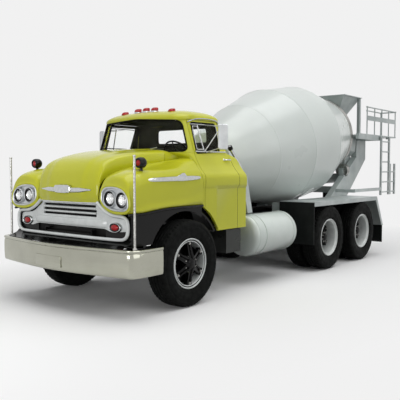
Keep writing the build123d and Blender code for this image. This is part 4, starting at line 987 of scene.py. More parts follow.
def rounded(outline, radius, steps=5):
    """A flat outline with its corners rounded."""
    count = len(outline)
    made = []
    for k in range(count):
        here, before, after = (Vector(outline[(k + d) % count]) for d in (0, -1, 1))
        r = min(radius, (before - here).length * 0.45, (after - here).length * 0.45)
        a = here + (before - here).normalized() * r
        b = here + (after - here).normalized() * r
        for s in range(steps + 1):
            t = s / steps
            made.append(a * (1 - t) ** 2 + here * 2 * t * (1 - t) + b * t * t)
    return made


def side_cutter(name, outline, x0, x1, radius):
    """A cutter through the cab's side: outline in y and z, rounded, swept along X."""
    return prism(name, [at(x0, y, z) for y, z in rounded(outline, radius)], (x1 - x0, 0, 0))


def front_cutter(name, outline, y0, y1, radius):
    """A cutter through the cab's front or back: outline in x and z, rounded, swept along Y."""
    return prism(name, [at(x, y0, z) for x, z in rounded(outline, radius)], (0, y1 - y0, 0))


DOOR_Y = (0.402, 1.075)
DOOR_TOP = 2.278
DOOR_GAP = 0.006
DOOR_GLASS = ((0.440, 1.846), (0.930, 1.872), (0.965, 2.250), (0.456, 2.246))
SCREEN = ((-0.822, 1.872), (0.822, 1.872), (0.690, 2.262), (0.0, 2.300), (-0.690, 2.262))
REAR_WINDOW = ((-0.47, 2.01), (0.47, 2.01), (0.47, 2.22), (-0.47, 2.22))
HOUSE_R = 0.75
LOW_PANEL = ((0.672, 0.70), (1.45, 0.70), (1.45, 1.392), (0.672, 1.392))


def door_cutter(name, side, grow):
    """A slab as wide as the door; its rear face leans with the pillar."""
    y0, y1, top = DOOR_Y[0] - grow, DOOR_Y[1] + grow, DOOR_TOP + grow
    outline = [(0.56, y0), (1.12, y0), (1.12, y1 + 0.055), (0.905, y1 + 0.045), (0.74, y1 - 0.055),
               (0.56, y1 - 0.055)]
    return prism(name, [at(side * x, y, 0.80) for x, y in outline], (0, 0, top - 0.80))


def house_cutter(name, side):
    """The round opening for a front wheel."""
    return turned(name, [(0.61, 0.0), (0.61, HOUSE_R), (1.25, HOUSE_R), (1.25, 0.0)], at(0, 0, AXLE_Z),
                  axis=(side, 0, 0), segments=96)


def build_cab():
    """Cab sheet with its low panels, the door leaves cut from it, and every pane."""
    shell = cab_layer("cab_sheet", 0.0, 0.032)
    for side in (1, -1):
        carved(shell, house_cutter("house", side))
        rows = []
        for x, grow in ((1.012, 0.0), (1.044, 0.045), (1.2, 0.045)):
            outline = [(y - grow if y < 1 else y, z + grow if z > 1 else z) for y, z in LOW_PANEL]
            rows.append([at(side * x, y, z) for y, z in rounded(outline, 0.03)])
        carved(shell, skin("low_panel", rows, ring=True, caps=True))
    doors = {}
    for side, name in SIDES:
        leaf = copied(shell, "door_skin_" + name)
        carved(leaf, door_cutter("leaf", side, 0.0), "INTERSECT")
        carved(leaf, side_cutter("light", DOOR_GLASS, side * 0.5, side * 1.2, 0.035))
        carved(shell, door_cutter("doorway", side, DOOR_GAP))
        doors[side] = leaf
    carved(shell, front_cutter("screen", SCREEN, 0.1, 0.372, 0.07))
    carved(shell, front_cutter("rear_light", REAR_WINDOW, 0.9, 1.4, 0.05))
    soften(shell, 32)
    dress(shell, YELLOW, "chassis", "cab_paint", "cab_shell")
    shaded_inside(shell)
    for side, name in SIDES:
        bead = [at(side * 1.031, (HOUSE_R + 0.008) * math.cos(a), AXLE_Z + (HOUSE_R + 0.008) * math.sin(a))
                for a in (math.radians(27 + 25 * k / 16) for k in range(17))]
        leaf = joined("door_leaf_" + name, [doors[side], tube("arch_bead", bead, 0.010, 10)])
        soften(leaf, 32)
        dress(leaf, YELLOW, "door_" + name, "cab_paint", "door_" + name)
        shaded_inside(leaf)

    pane = cab_layer("pane_form", 0.012, 0.018)
    for side, name in SIDES:
        light = copied(pane, "door_pane_" + name)
        carved(light, side_cutter("light", DOOR_GLASS, side * 0.5, side * 1.2, 0.035), "INTERSECT")
        soften(light)
        dress(light, GLASS, "door_" + name, "window_glass", "door_glass_" + name)
    screen = copied(pane, "windscreen")
    carved(screen, front_cutter("screen", SCREEN, 0.1, 0.372, 0.07), "INTERSECT")
    rear = pane
    carved(rear, front_cutter("rear_light", REAR_WINDOW, 0.9, 1.4, 0.05), "INTERSECT")
    glass = joined("cab_panes", [screen, rear])
    dress(glass, GLASS, "chassis", "window_glass", "cab_glass")


# ---- nose --------------------------------------------------------------------------------
GRILLE_Y = -0.898


def grille_sweep(x):
    """How far the grille's face curves back at a distance across."""
    return 0.012 * (abs(x) / 0.98) ** 3


def swept_back(piece):
    """Cuts a flat grille piece into strips and curves its ends back."""
    mesh = bmesh.new()
    mesh.from_mesh(piece.data)
    for x in (-0.9, -0.8, -0.7, -0.6, 0.6, 0.7, 0.8, 0.9):
        bmesh.ops.bisect_plane(mesh, geom=mesh.verts[:] + mesh.edges[:] + mesh.faces[:], plane_co=(x, 0, 0),
                               plane_no=(1, 0, 0))
    for vert in mesh.verts:
        vert.co.y += grille_sweep(vert.co.x)
    mesh.to_mesh(piece.data)
    mesh.free()


def build_grille():
    """Slotted grille with its bars, tray and hoop, the dark backing and the pan behind the bumper."""
    face = at(0, GRILLE_Y, 0).y
    outline = ((-.500, 1.254), (.500, 1.254), (.62, 1.168), (.72, 1.116), (.955, 1.098), (.972, .965),
               (.72, .945),
               (.62, .978), (-.62, .978), (-.72, .945), (-.972, .965), (-.955, 1.098), (-.72, 1.116),
               (-.62, 1.168))
    panel = prism("grille_panel", [Vector((x, face, z)) for x, z in rounded(outline, 0.045, 4)],
                  (0, 0.022, 0), 0.006)
    for z, half in ((1.224, 0.478), (1.170, 0.492), (1.118, 0.488)):
        slot = [(-half, z - 0.014), (half, z - 0.014), (half, z + 0.014), (-half, z + 0.014)]
        carved(panel, prism("slot", [Vector((x, face - 0.05, q)) for x, q in rounded(slot, 0.012, 3)],
                            (0, 0.2, 0)))
    bars = [tube("grille_bar_%d" % k, [Vector((-half, face - 0.004, z)), Vector((half, face - 0.004, z))],
                 0.0125)
            for k, (z, half) in enumerate(((1.197, 0.482), (1.144, 0.492), (1.250, 0.488)))]
    tray = []
    for x in [-0.66 + 1.32 * k / 30 for k in range(31)]:
        ease = max(0.0, abs(x) - 0.56) / 0.10
        deep, tall = 0.030 * (1 - ease ** 3), 0.046 * (1 - 0.25 * ease ** 2)
        tray.append([Vector((x, face + 0.004 - deep * max(0.0, math.cos(a)) ** 0.5,
                             1.034 + tall * math.sin(a)))
                     for a in around(24)])
    tray = skin("grille_tray", tray, ring=True, caps=True)
    half_line = [(0, .868), (.30, .868), (.60, .869), (.86, .873), (.945, .886), (.988, .925), (1.002, .985),
                 (.998, 1.06),
                 (.975, 1.105), (.92, 1.128), (.76, 1.142), (.62, 1.198), (.52, 1.272)]
    frame_line = [(-x, z) for x, z in reversed(half_line[1:])] + half_line
    hoop = tube("grille_hoop", [Vector((x, face - 0.022, z)) for x, z in frame_line], 0.0195, 16, 6)
    front = joined("grille_front", [panel, hoop, tray] + bars)
    swept_back(front)
    dress(front, GRILLE_WHITE, "chassis", "pale_paint", "grille")
    back = [box("grille_back", (-0.98, face + 0.03, 0.87), (0.98, face + 0.04, 1.12), 0.004),
            box("grille_back_top", (-0.54, face + 0.03, 1.10), (0.54, face + 0.04, 1.268), 0.004)]
    backing = joined("grille_backing", back)
    swept_back(backing)
    dress(backing, CHASSIS, "chassis", "chassis_paint")
    pan = []
    for x in [-1.04 + 2.08 * k / 24 for k in range(25)]:
        reach = -1.150 + 0.10 * (x / 1.04) ** 2
        pan.append([at(x, y, z) for y, z in ((-0.885, 0.875), (-0.90, 0.855), (-0.925, 0.838),
                                             (reach + 0.02, 0.800),
                                             (reach + 0.02, 0.792), (-0.90, 0.835), (-0.878, 0.86))])
    dress(skin("front_pan", pan, ring=True, caps=True), BLACK, "chassis", "black_gloss")


def build_headlamps():
    """Twin lamps a side: bezel, ring, a black rim that stands for the shade in the lamp's recess, bowl and
    glass.
    """
    parts = {"bezel": [], "dark": [], "bright": [], "glass": []}
    for side in (1, -1):
        rows = []
        for out, y in ((0.004, -0.975), (0.003, -0.989), (-0.006, -0.995), (-0.014, -0.990), (-0.018, -0.972),
                       (-0.022, -0.958)):
            rows.append([at(side * x, y + lamp_sweep(x), z) for x,
                         z in through_flat(grown(LAMP_RIM, out), 5)])
        parts["bezel"].append(skin("bezel", rows, ring=True))
        parts["bezel"].append(skin("bezel_floor",
                                   [rows[-1], [sum(rows[-1], Vector()) / len(rows[-1])] * len(rows[-1])],
                                   ring=True))
        for x, z in ((0.744, 1.322), (0.950, 1.312)):
            centre = at(side * x, -0.982 + lamp_sweep(x), z)
            parts["bezel"].append(turned("ring", [(0.024, 0.098), (-0.008, 0.095), (-0.015, 0.091),
                                                  (-0.012, 0.087),
                                                  (0.0, 0.086)], centre, (0, 1, 0), 48))
            # a black ring, widened so that it stands for the shade deep in each lamp's recess: painted shade
            parts["dark"].append(turned("rim", [(0.010, 0.087), (-0.010, 0.086), (-0.010, 0.080),
                                                (0.006, 0.062),
                                                (0.010, 0.058)], centre, (0, 1, 0), 48))
            parts["bright"].append(turned("bowl", [(0.006, 0.061), (0.011, 0.054), (0.016, 0.040),
                                                   (0.020, 0.022),
                                                   (0.021, 0.0)], centre, (0, 1, 0), 48))
            parts["glass"].append(turned("glass", [(0.004, 0.061), (-0.008, 0.046), (-0.014, 0.026),
                                                   (-0.016, 0.0)],
                                         centre, (0, 1, 0), 48))
    dress(joined("headlamp_bezels", parts["bezel"]), ALLOY, "chassis", "bright_metal", "headlamps")
    dress(joined("headlamp_shade_rims", parts["dark"]), BLACK, "chassis", "black_gloss")
    dress(joined("headlamp_bowls", parts["bright"]), SILVER, "chassis", "bright_metal")
    dress(joined("headlamp_glasses", parts["glass"]), LAMP_CLEAR, "chassis", "lamp_lens")


def through_flat(outline, steps):
    """A smooth closed line through an outline in x and z."""
    return [(p.x, p.z) for p in through([(x, 0, z) for x, z in outline], steps, closed=True)]


def build_lamps():
    """Signal pods on the fenders, parking lamps in the grille, tail lamps and five roof lamps."""
    black, red, bright = [], [], []
    for side in (1, -1):
        x, y, z = side * 0.955, -0.649, 1.719
        black.append(turned("signal_pod", [(-0.046, 0.0), (-0.046, 0.034), (-0.052, 0.036), (-0.054, 0.050),
                                           (-0.046, 0.058),
                                           (-0.020, 0.063), (0.020, 0.062), (0.044, 0.048), (0.056, 0.024),
                                           (0.058, 0.0)],
                            at(x, y, z), (0, 1, 0), 40))
        black.append(tube("signal_stalk", [at(x, y, z - 0.052), at(x, y, z - 0.10)], 0.018))
        red.append(turned("signal_lens", [(-0.060, 0.0), (-0.058, 0.016), (-0.052, 0.028), (-0.046, 0.033)],
                          at(x - side * 0.004, y, z), (0, 1, 0), 28))
        rows, gap, lens = [], [], []
        middle = at(side * 0.805, GRILLE_Y + grille_sweep(0.805), 1.006)
        for made, steps in ((rows, ((1.0, 0.014), (1.0, -0.024), (0.93, -0.034), (0.85, -0.034),
                                    (0.80, -0.024))),
                            (gap, ((0.81, -0.026), (0.70, -0.022), (0.60, -0.022))),
                            (lens, ((0.60, -0.018), (0.56, -0.032), (0.38, -0.040), (0.02, -0.042)))):
            for grow, deep in steps:
                made.append([middle + Vector((0.096 * grow * math.cos(a), deep, 0.056 * grow * math.sin(a)))
                             for a in around(40)])
        bright.append(skin("park_ring", rows, ring=True))
        red.append(skin("park_lens", lens, ring=True))
        black.append(skin("park_gap", gap, ring=True))
        low, high = (side * 1.090, 5.635, 0.592), (side * 1.180, 5.715, 0.688)
        tail = [min(low[0], high[0]), max(low[0], high[0])]
        black.append(box("tail_case", at(tail[0], 5.690, low[2]), at(tail[1], 5.712, high[2]), 0.006))
        red.append(box("tail_lens", at(tail[0] + 0.008, 5.706, low[2] + 0.008),
                       at(tail[1] - 0.008, 5.722, high[2] - 0.008),
                       0.006))
    for x in (-0.43, -0.177, -0.022, 0.133, 0.437):
        z = 2.432 - 0.036 * (abs(x) / 0.44) ** 2
        rows = []
        for w, lift, back in ((1.0, -0.002, 0.0), (1.0, 0.010, 0.002), (0.92, 0.028, 0.010),
                              (0.7, 0.040, 0.022),
                              (0.35, 0.045, 0.034)):
            rows.append([at(x + 0.043 * w * math.cos(a), 0.445 + back + 0.055 * w * math.sin(a), z + lift)
                         for a in around(24)])
        red.append(skin("roof_lens", rows, ring=True, caps=True))
        bright.append(skin("roof_base", [[at(x + 0.047 * g * math.cos(a), 0.447 + 0.060 * g * math.sin(a),
                                             z + lift)
                                          for a in around(24)]
                                         for g, lift in ((1.0, -0.04), (1.0, -0.012), (0.94, -0.006))],
                           ring=True, caps=True))
    dress(joined("lamp_cases", black), BLACK, "chassis", "black_gloss", "lamps")
    dress(joined("lamp_lenses", red), RED, "chassis", "lamp_lens")
    dress(joined("lamp_rings", bright), CHROME, "chassis", "bright_metal")


POLE_X, POLE_Y = 1.130, -0.930
POLE_LOW, POLE_TOP, POLE_R = 0.785, 1.790, 0.0135


def build_bumper():
    """Rolled bumper, its poles, irons and the blank plate."""
    half = [(1.216, -0.575), (1.216, -0.70), (1.216, -0.86), (1.205, -0.96), (1.160, -1.025), (1.060, -1.052),
            (0.670, -1.115), (0.34, -1.160)]
    line = half + [(0, -1.178)] + [(-x, y) for x, y in reversed(half)]
    path = through([(x, y, 0) for x, y in line], 6)
    section = [(0.062, 0.778), (0.044, 0.788), (0.022, 0.794), (0.006, 0.792), (-0.003, 0.785),
               (-0.005, 0.776),
               (-0.002, 0.767), (0.006, 0.761), (0.008, 0.755), (0.003, 0.749), (0.000, 0.735),
               (-0.002, 0.690),
               (-0.002, 0.590), (0.001, 0.520), (0.004, 0.498), (0.014, 0.487), (0.030, 0.484),
               (0.056, 0.490), (0.056, 0.496), (0.030, 0.492), (0.014, 0.500), (0.012, 0.520), (0.014, 0.750),
               (0.022, 0.780), (0.050, 0.778)]
    rows = []
    for k, p in enumerate(path):
        before, after = path[max(k - 1, 0)], path[min(k + 1, len(path) - 1)]
        heading = (after - before).normalized()
        inward = Vector((-heading.y, heading.x, 0)) * -1
        if inward.dot(Vector((0, 0.2, 0)) - p) < 0:
            inward = -inward
        rows.append([at(p.x + inward.x * d, p.y + inward.y * d, z) for d, z in section])
    bumper = skin("bumper_blade", rows, ring=True, caps=True)
    dress(bumper, BUMPER_CHROME, "chassis", "bright_metal", "front_bumper")
    poles = []
    for side in (1, -1):
        x = side * POLE_X
        poles.append(tube("pole", [at(x, POLE_Y, POLE_LOW), at(x, POLE_Y, POLE_TOP)], POLE_R, 14))
        poles.append(turned("pole_tip", [(0.0, 0.0125), (0.004, 0.018), (0.014, 0.019), (0.020, 0.012),
                                         (0.021, 0.0)],
                            at(x, POLE_Y, POLE_TOP - 0.010), (0, 0, 1), 20))
        poles.append(turned("pole_foot", [(0.0, 0.026), (0.012, 0.024), (0.022, 0.016), (0.026, 0.0125)],
                            at(x, POLE_Y, POLE_LOW + 0.003), (0, 0, 1), 20))
    dress(joined("bumper_poles", poles), STEEL, "chassis", "bright_metal")
    irons = [box("bumper_iron_%d" % side, at(side * 0.395 - 0.022, -1.14, 0.72),
                 at(side * 0.395 + 0.022, -0.90, 0.77), 0.004)
             for side in (1, -1)]
    irons += [box("bumper_stay_%d" % side, at(side * 0.395 - 0.018, -1.12, 0.60),
                  at(side * 0.395 + 0.018, -0.92, 0.72), 0.004)
              for side in (1, -1)]
    dress(joined("bumper_irons", irons), CHASSIS, "chassis", "chassis_paint")
    plate = box("plate_blank", at(-0.27, -1.186, 0.53), at(0.19, -1.160, 0.655), 0.003)
    dress(plate, BUMPER_CHROME, "chassis", "bright_metal")


def build_trim():
    """Chrome spears along the fenders."""
    bright = []
    for side in (1, -1):
        rows = []
        for y, up, out in ((-0.640, 0.004, 0.000), (-0.620, 0.016, 0.010), (-0.56, 0.024, 0.018),
                           (-0.40, 0.027, 0.022),
                           (-0.16, 0.030, 0.024), (-0.08, 0.034, 0.026), (0.0, 0.032, 0.024),
                           (0.15, 0.028, 0.020),
                           (0.27, 0.022, 0.015), (0.298, 0.004, 0.004)):
            skin_x = 1.056 - 0.010 * max(0.0, y) / 0.3
            rows.append([at(side * (skin_x - 0.008 + (out + 0.006) * max(0.0, math.sin(a)) ** 0.6), y,
                            1.528 + 0.016 * (y + 0.64) + up * math.cos(a))
                         for a in (math.pi * s / 12 for s in range(13))])
        bright.append(skin("spear", rows))
        fin = []
        for y, up in ((-0.17, 0.004), (-0.12, 0.022), (-0.07, 0.044), (-0.03, 0.050), (-0.005, 0.030),
                      (0.02, 0.004)):
            fin.append([at(side * (1.052 + d), y, 1.556 + up * h) for d,
                        h in ((0.012, 0.0), (0.013, 0.6), (0.009, 0.95),
                                                                            (0.004, 1.0), (0.000, 0.6),
                                                                                    (0.0, 0.0))])
        bright.append(skin("spear_fin", fin, ring=True, caps=True))
    dress(joined("side_spears", bright), CHROME, "chassis", "bright_metal")


# ---- drum, tanks and boards --------------------------------------------------------------
DRUM = JOINTS["drum_spin"]
DRUM_AT = Vector(DRUM["pos_m"])
DRUM_AXIS = Vector(DRUM["axis"]).normalized()


def drum_lathe(name, profile, segments=144, closed=False):
    """A profile of (distance along the drum's axis from its middle, radius) turned about it."""
    return turned(name, profile, DRUM_AT, DRUM_AXIS, segments, closed, Vector((1, 0, 0)))


def build_drum():
    """Drum shell with its weld seams, track ring, drive end and two hatches."""
    seams = (-1.401, -0.622, 0.265, 1.400)
    corners = [(-2.276, 0.450), (-1.401, 0.796), (-0.622, 1.002), (0.265, 1.008), (1.400, 0.690),
               (1.568, 0.600)]
    outer = [(-2.276, 0.0), (-2.276, 0.425), (-2.270, 0.444)]
    for k in range(len(corners) - 1):
        (s0, r0), (s1, r1) = corners[k], corners[k + 1]
        steps = 10
        for j in range(1 if k else 1, steps):
            t = j / steps
            outer.append((s0 + (s1 - s0) * t, r0 + (r1 - r0) * t))
        if s1 in seams:
            lift = 0.0035
            outer += [(s1 - 0.012, r1 - 0.002 if k < 2 else r1 + 0.001), (s1 - 0.006, r1 + lift),
                      (s1 + 0.006, r1 + lift),
                      (s1 + 0.012, r1 + 0.001 if k < 2 else r1 - 0.002)]
    outer += [(1.568, 0.602), (1.566, 0.618), (1.572, 0.624), (1.584, 0.624), (1.590, 0.618), (1.590, 0.592)]
    inner = [(1.568, 0.590), (1.400, 0.680), (0.265, 0.998), (-0.622, 0.992), (-1.401, 0.786),
             (-2.260, 0.440), (-2.266, 0.0)]
    shell = drum_lathe("drum_shell", outer + inner)
    soften(shell, 8)
    dress(shell, DRUM_WHITE, "drum", "drum_paint", "drum")
    track = drum_lathe("drum_track", [(1.320, 0.690), (1.321, 0.716), (1.326, 0.722), (1.402, 0.722),
                                      (1.407, 0.716),
                                      (1.408, 0.672)], closed=True)
    dress(track, STEEL, "drum", "roller_iron")
    start = -2.276
    drive = drum_lathe("drum_drive", [(start - 0.15, 0.0), (start - 0.15, 0.106), (start - 0.145, 0.110),
                                      (start - 0.03, 0.110),
                                      (start - 0.03, 0.214), (start - 0.026, 0.220), (start + 0.004, 0.220),
                                      (start + 0.004, 0.0)], 64)
    studs = []
    side, up = Vector((1, 0, 0)), Vector((1, 0, 0)).cross(DRUM_AXIS)
    for a in around(12):
        centre = DRUM_AT + DRUM_AXIS * (start - 0.03) + (side * math.cos(a) + up * math.sin(a)) * 0.178
        studs.append(turned("stud", [(0.0, 0.016), (-0.014, 0.016), (-0.018, 0.012), (-0.018, 0.0)], centre,
                            DRUM_AXIS, 6))
    dress(joined("drum_drive_end", [drive] + studs), CHASSIS, "drum", "chassis_paint")
    lids = []
    for turn in (math.radians(118), math.radians(298)):
        rows = []
        for reach in (0.0, 0.16, 0.19, 0.20):
            rows.append([])
            for a in around(28):
                along = -0.18 + math.cos(a) * reach
                swing = turn + math.sin(a) * reach / 1.0
                out = 1.0055 + (0.012 if reach < 0.19 else 0.0 if reach > 0.195 else 0.010)
                rim = side * math.cos(swing) + up * math.sin(swing)
                rows[-1].append(DRUM_AT + DRUM_AXIS * along + rim * out)
        lids.append(skin("hatch", rows, ring=True))
    dress(joined("drum_hatches", lids), DRUM_WHITE, "drum", "drum_paint")


def build_tanks():
    """A dished water tank a side, with seams, bands and brackets."""
    whites, bands, darks = [], [], []
    y0, length = 1.45, 1.17
    for side in (1, -1):
        centre = at(side * 0.825, y0, 0.70)
        end = [(0.020, 0.0), (0.021, 0.12), (0.025, 0.20), (0.036, 0.252), (0.052, 0.278), (0.072, 0.290),
               (0.100, 0.295)]
        body = end + [(0.20, 0.295), (length - 0.20, 0.295)] + [(length - s, r) for s, r in reversed(end)]
        whites.append(turned("tank", body, centre, (0, 1, 0), 96))
        for s in (0.10, length - 0.10):
            whites.append(turned("tank_seam", [(s - 0.010, 0.294), (s - 0.008, 0.2985), (s + 0.008, 0.2985),
                                               (s + 0.010, 0.294)],
                                 centre, (0, 1, 0), 96))
        for y in (1.72, 2.48):
            s = y - y0
            bands.append(turned("tank_band", [(s - 0.019, 0.296), (s - 0.018, 0.303), (s + 0.018, 0.303),
                                              (s + 0.019, 0.296)],
                                centre, (0, 1, 0), 96))
            darks.append(box("tank_bracket", at(min(side * 0.434, side * 0.56), y - 0.034, 0.72),
                             at(max(side * 0.434, side * 0.56), y + 0.034, 0.93), 0.006))
    dress(joined("tank_bodies", whites), TANK_WHITE, "chassis", "pale_paint", "side_tanks")
    dress(joined("tank_bands", bands), TANK_WHITE, "chassis", "bright_metal")
    dress(joined("tank_brackets", darks), CHASSIS, "chassis", "chassis_paint")


def build_mirrors():
    """Door mirrors on their arms, each turned toward the driver."""
    for side, name in SIDES:
        middle = Vector((side * 1.128, AXLE_Y + 0.642, 2.054))
        turn = math.radians(35 if side > 0 else 10)
        across = Vector((side * math.cos(turn), math.sin(turn), 0))
        face = Vector((-side * math.sin(turn), math.cos(turn), 0))
        rows, glass = [], []
        for push, grow in ((-0.016, -0.030), (-0.014, -0.008), (-0.004, 0.0), (0.006, 0.0), (0.012, -0.006)):
            line = rounded(((-0.064 - grow, -0.160 - grow), (0.064 + grow, -0.160 - grow),
                            (0.064 + grow, 0.160 + grow),
                            (-0.064 - grow, 0.160 + grow)), 0.030, 5)
            rows.append([middle + across * p.x + face * push + Vector((0, 0, p.y)) for p in line])
        head = skin("mirror_head", rows, ring=True, caps=True)
        line = rounded(((-0.056, -0.152), (0.056, -0.152), (0.056, 0.152), (-0.056, 0.152)), 0.025, 5)
        glass = prism("mirror_glass", [middle + across * p.x + face * 0.010 + Vector((0, 0, p.y))
                                       for p in line], face * 0.004)
        low = on_side(side, 0.600, 1.866, 0.004)
        arms = [tube("mirror_arm_high", [low, middle + Vector((0, -0.012, 0.150))], 0.0065, 8),
                tube("mirror_arm_low", [low + Vector((0, 0.04, -0.004)),
                                        middle + Vector((0, -0.010, -0.130))], 0.0065, 8),
                tube("mirror_arm_back", [on_side(side, 0.760, 2.225, 0.004),
                                         middle + Vector((0, -0.010, 0.130))], 0.0055, 8),
                tube("mirror_stem", [middle + Vector((0, -0.012, -0.150)),
                                     middle + Vector((0, -0.012, 0.160))], 0.006, 8)]
        dress(joined("mirror_frame_" + name, [head] + arms), ALLOY, "door_" + name, "bright_metal",
              "mirror_" + name)
        dress(glass, CHROME, "door_" + name, "bright_metal")


def build_cab_inside():
    """Bench seat on its box, and the steering wheel on its column."""
    cushion = prism("seat_cushion", [at(-0.60, y, z) for y, z in
                                     rounded(((0.69, 1.31), (0.69, 1.42), (0.74, 1.455), (1.05, 1.44),
                                              (1.10, 1.31)), 0.05, 5)],
                    (1.2, 0, 0), 0.02)
    back = prism("seat_back", [at(-0.60, y, z) for y, z in
                               rounded(((1.02, 1.44), (1.04, 1.80), (1.09, 1.83), (1.135, 1.80),
                                        (1.14, 1.44)), 0.04, 5)],
                 (1.2, 0, 0), 0.02)
    cushion.modifiers.new("pad", "SUBSURF").levels = 1
    applied(cushion)
    seat = joined("bench_seat", [cushion, back])
    dress(seat, VINYL, "chassis", "seat_fabric")
    base = box("seat_box", at(-0.56, 0.80, 1.041), at(0.56, 1.16, 1.312), 0.01)
    # the seat box takes the same dark inside colour, painted shade for the cab's shadowed inside
    dress(base, INSIDE_SHADE, "chassis", "trim_plastic", "seat")
    centre = at(0.38, 0.655, 1.852)
    lean = Vector((0, 1.15, 1)).normalized()
    side, up = Vector((1, 0, 0)), Vector((1, 0, 0)).cross(lean)
    ring = [centre + (side * math.cos(a) + up * math.sin(a)) * 0.215 for a in around(64)]
    parts = [tube("wheel_ring", ring, 0.0115, 12, closed=True)]
    for k in range(3):
        a = math.pi / 2 + 2 * math.pi * k / 3
        tip = centre + (side * math.cos(a) + up * math.sin(a)) * 0.212
        parts.append(tube("wheel_spoke", [centre - lean * 0.03, centre * 0.4 + tip * 0.6 - lean * 0.008, tip],
                          0.008, 10, 4))
    parts.append(turned("wheel_hub", [(-0.05, 0.030), (-0.02, 0.036), (0.0, 0.032), (0.012, 0.018),
                                      (0.015, 0.0)], centre,
                        lean, 32))
    parts.append(turned("column", [(-0.30, 0.021), (-0.04, 0.021), (-0.04, 0.0)], centre, lean, 24))
    dress(joined("steering_wheel_rim", parts), BAKELITE, "chassis", "trim_plastic", "steering_wheel")


def build_pipe():
    """Bright slanted pipe behind the cab, with black ends."""
    low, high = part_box("slanted_pipe")
    x = (low.x + high.x) / 2
    line = [Vector((x, AXLE_Y + y, z)) for y,
            z in ((1.60, 1.562), (1.603, 1.61), (1.585, 1.665), (1.45, 1.81),
                                                    (1.305, 1.958))]
    pipe = tube("stand_pipe", line, 0.024, 24, 6)
    dress(pipe, CHROME, "chassis", "chassis_paint", "slanted_pipe")
    lean = (line[4] - line[3]).normalized()
    ends = [tube("pipe_sleeve", [line[0], line[1]], 0.036, 24),
            tube("pipe_cap", [line[4] - lean * 0.05, line[4]], 0.036, 24)]
    dress(joined("pipe_ends", ends), CHASSIS, "chassis", "chassis_paint")


def coat_nodes():
    """Finishes for the CAD nodes that keep their own shape."""
    for node in ("frame", "front_axle", "knuckle_left", "knuckle_right", "rear_axles", "chute_bracket"):
        coat_node(node, CHASSIS, 0.006)
    for node in ("deck", "front_pedestal", "rear_pedestal", "rear_platform", "ladder", "collector",
                 "discharge_chute",
                 "charge_hopper"):
        coat_node(node, GREY, 0.005)
    coat_node("side_boxes", BOX_GREEN, 0.006)
    coat_node("engine", IRON, 0.012)
    coat_node("radiator", CHASSIS, 0.006)
    coat_node("fender_skirts", BLACK, 0.005)
    coat_node("splash_guards", BOARD, 0.004)
    for node in ("drum_roller_left", "drum_roller_right"):
        coat_node(node, STEEL, 0.004)


def cab_plan(z):
    """The cab's outline at any height."""
    for low, high in zip(CAB_LEVELS, CAB_LEVELS[1:]):
        if z <= high[0]:
            share = max(0.0, (z - low[0]) / (high[0] - low[0]))
            return [a.lerp(b, share) for a, b in zip(cab_ring(low), cab_ring(high))]
    return cab_ring(CAB_LEVELS[-1])


def on_front(x, z, proud=0.0):
    """The point of the cab's front at a distance across and a height."""
    plan = cab_plan(z)[:14]
    for a, b in zip(plan, plan[1:]):
        if abs(x) <= b.x:
            p = a.lerp(b, (abs(x) - a.x) / (b.x - a.x))
            return Vector((x, p.y - proud, z))
    return Vector((x, plan[-1].y - proud, z))


def on_side(side, y, z, proud=0.0):
    """The point of the cab's side at a distance back and a height."""
    plan = cab_plan(z)[8:30]
    for a, b in zip(plan, plan[1:]):
        if b.y >= AXLE_Y + y:
            p = a.lerp(b, max(0.0, (AXLE_Y + y - a.y) / (b.y - a.y)))
            return Vector((side * (p.x + proud), AXLE_Y + y, z))
    return Vector((side * (plan[-1].x + proud), AXLE_Y + y, z))


def stepped(outline, step=0.05, closed=True):
    """The same outline with more points along its straight runs."""
    made = []
    count = len(outline)
    for k in range(count if closed else count - 1):
        a, b = Vector(outline[k]), Vector(outline[(k + 1) % count])
        parts = max(1, int((b - a).length / step))
        made += [a.lerp(b, j / parts) for j in range(parts)]
    if not closed:
        made.append(Vector(outline[-1]))
    return made


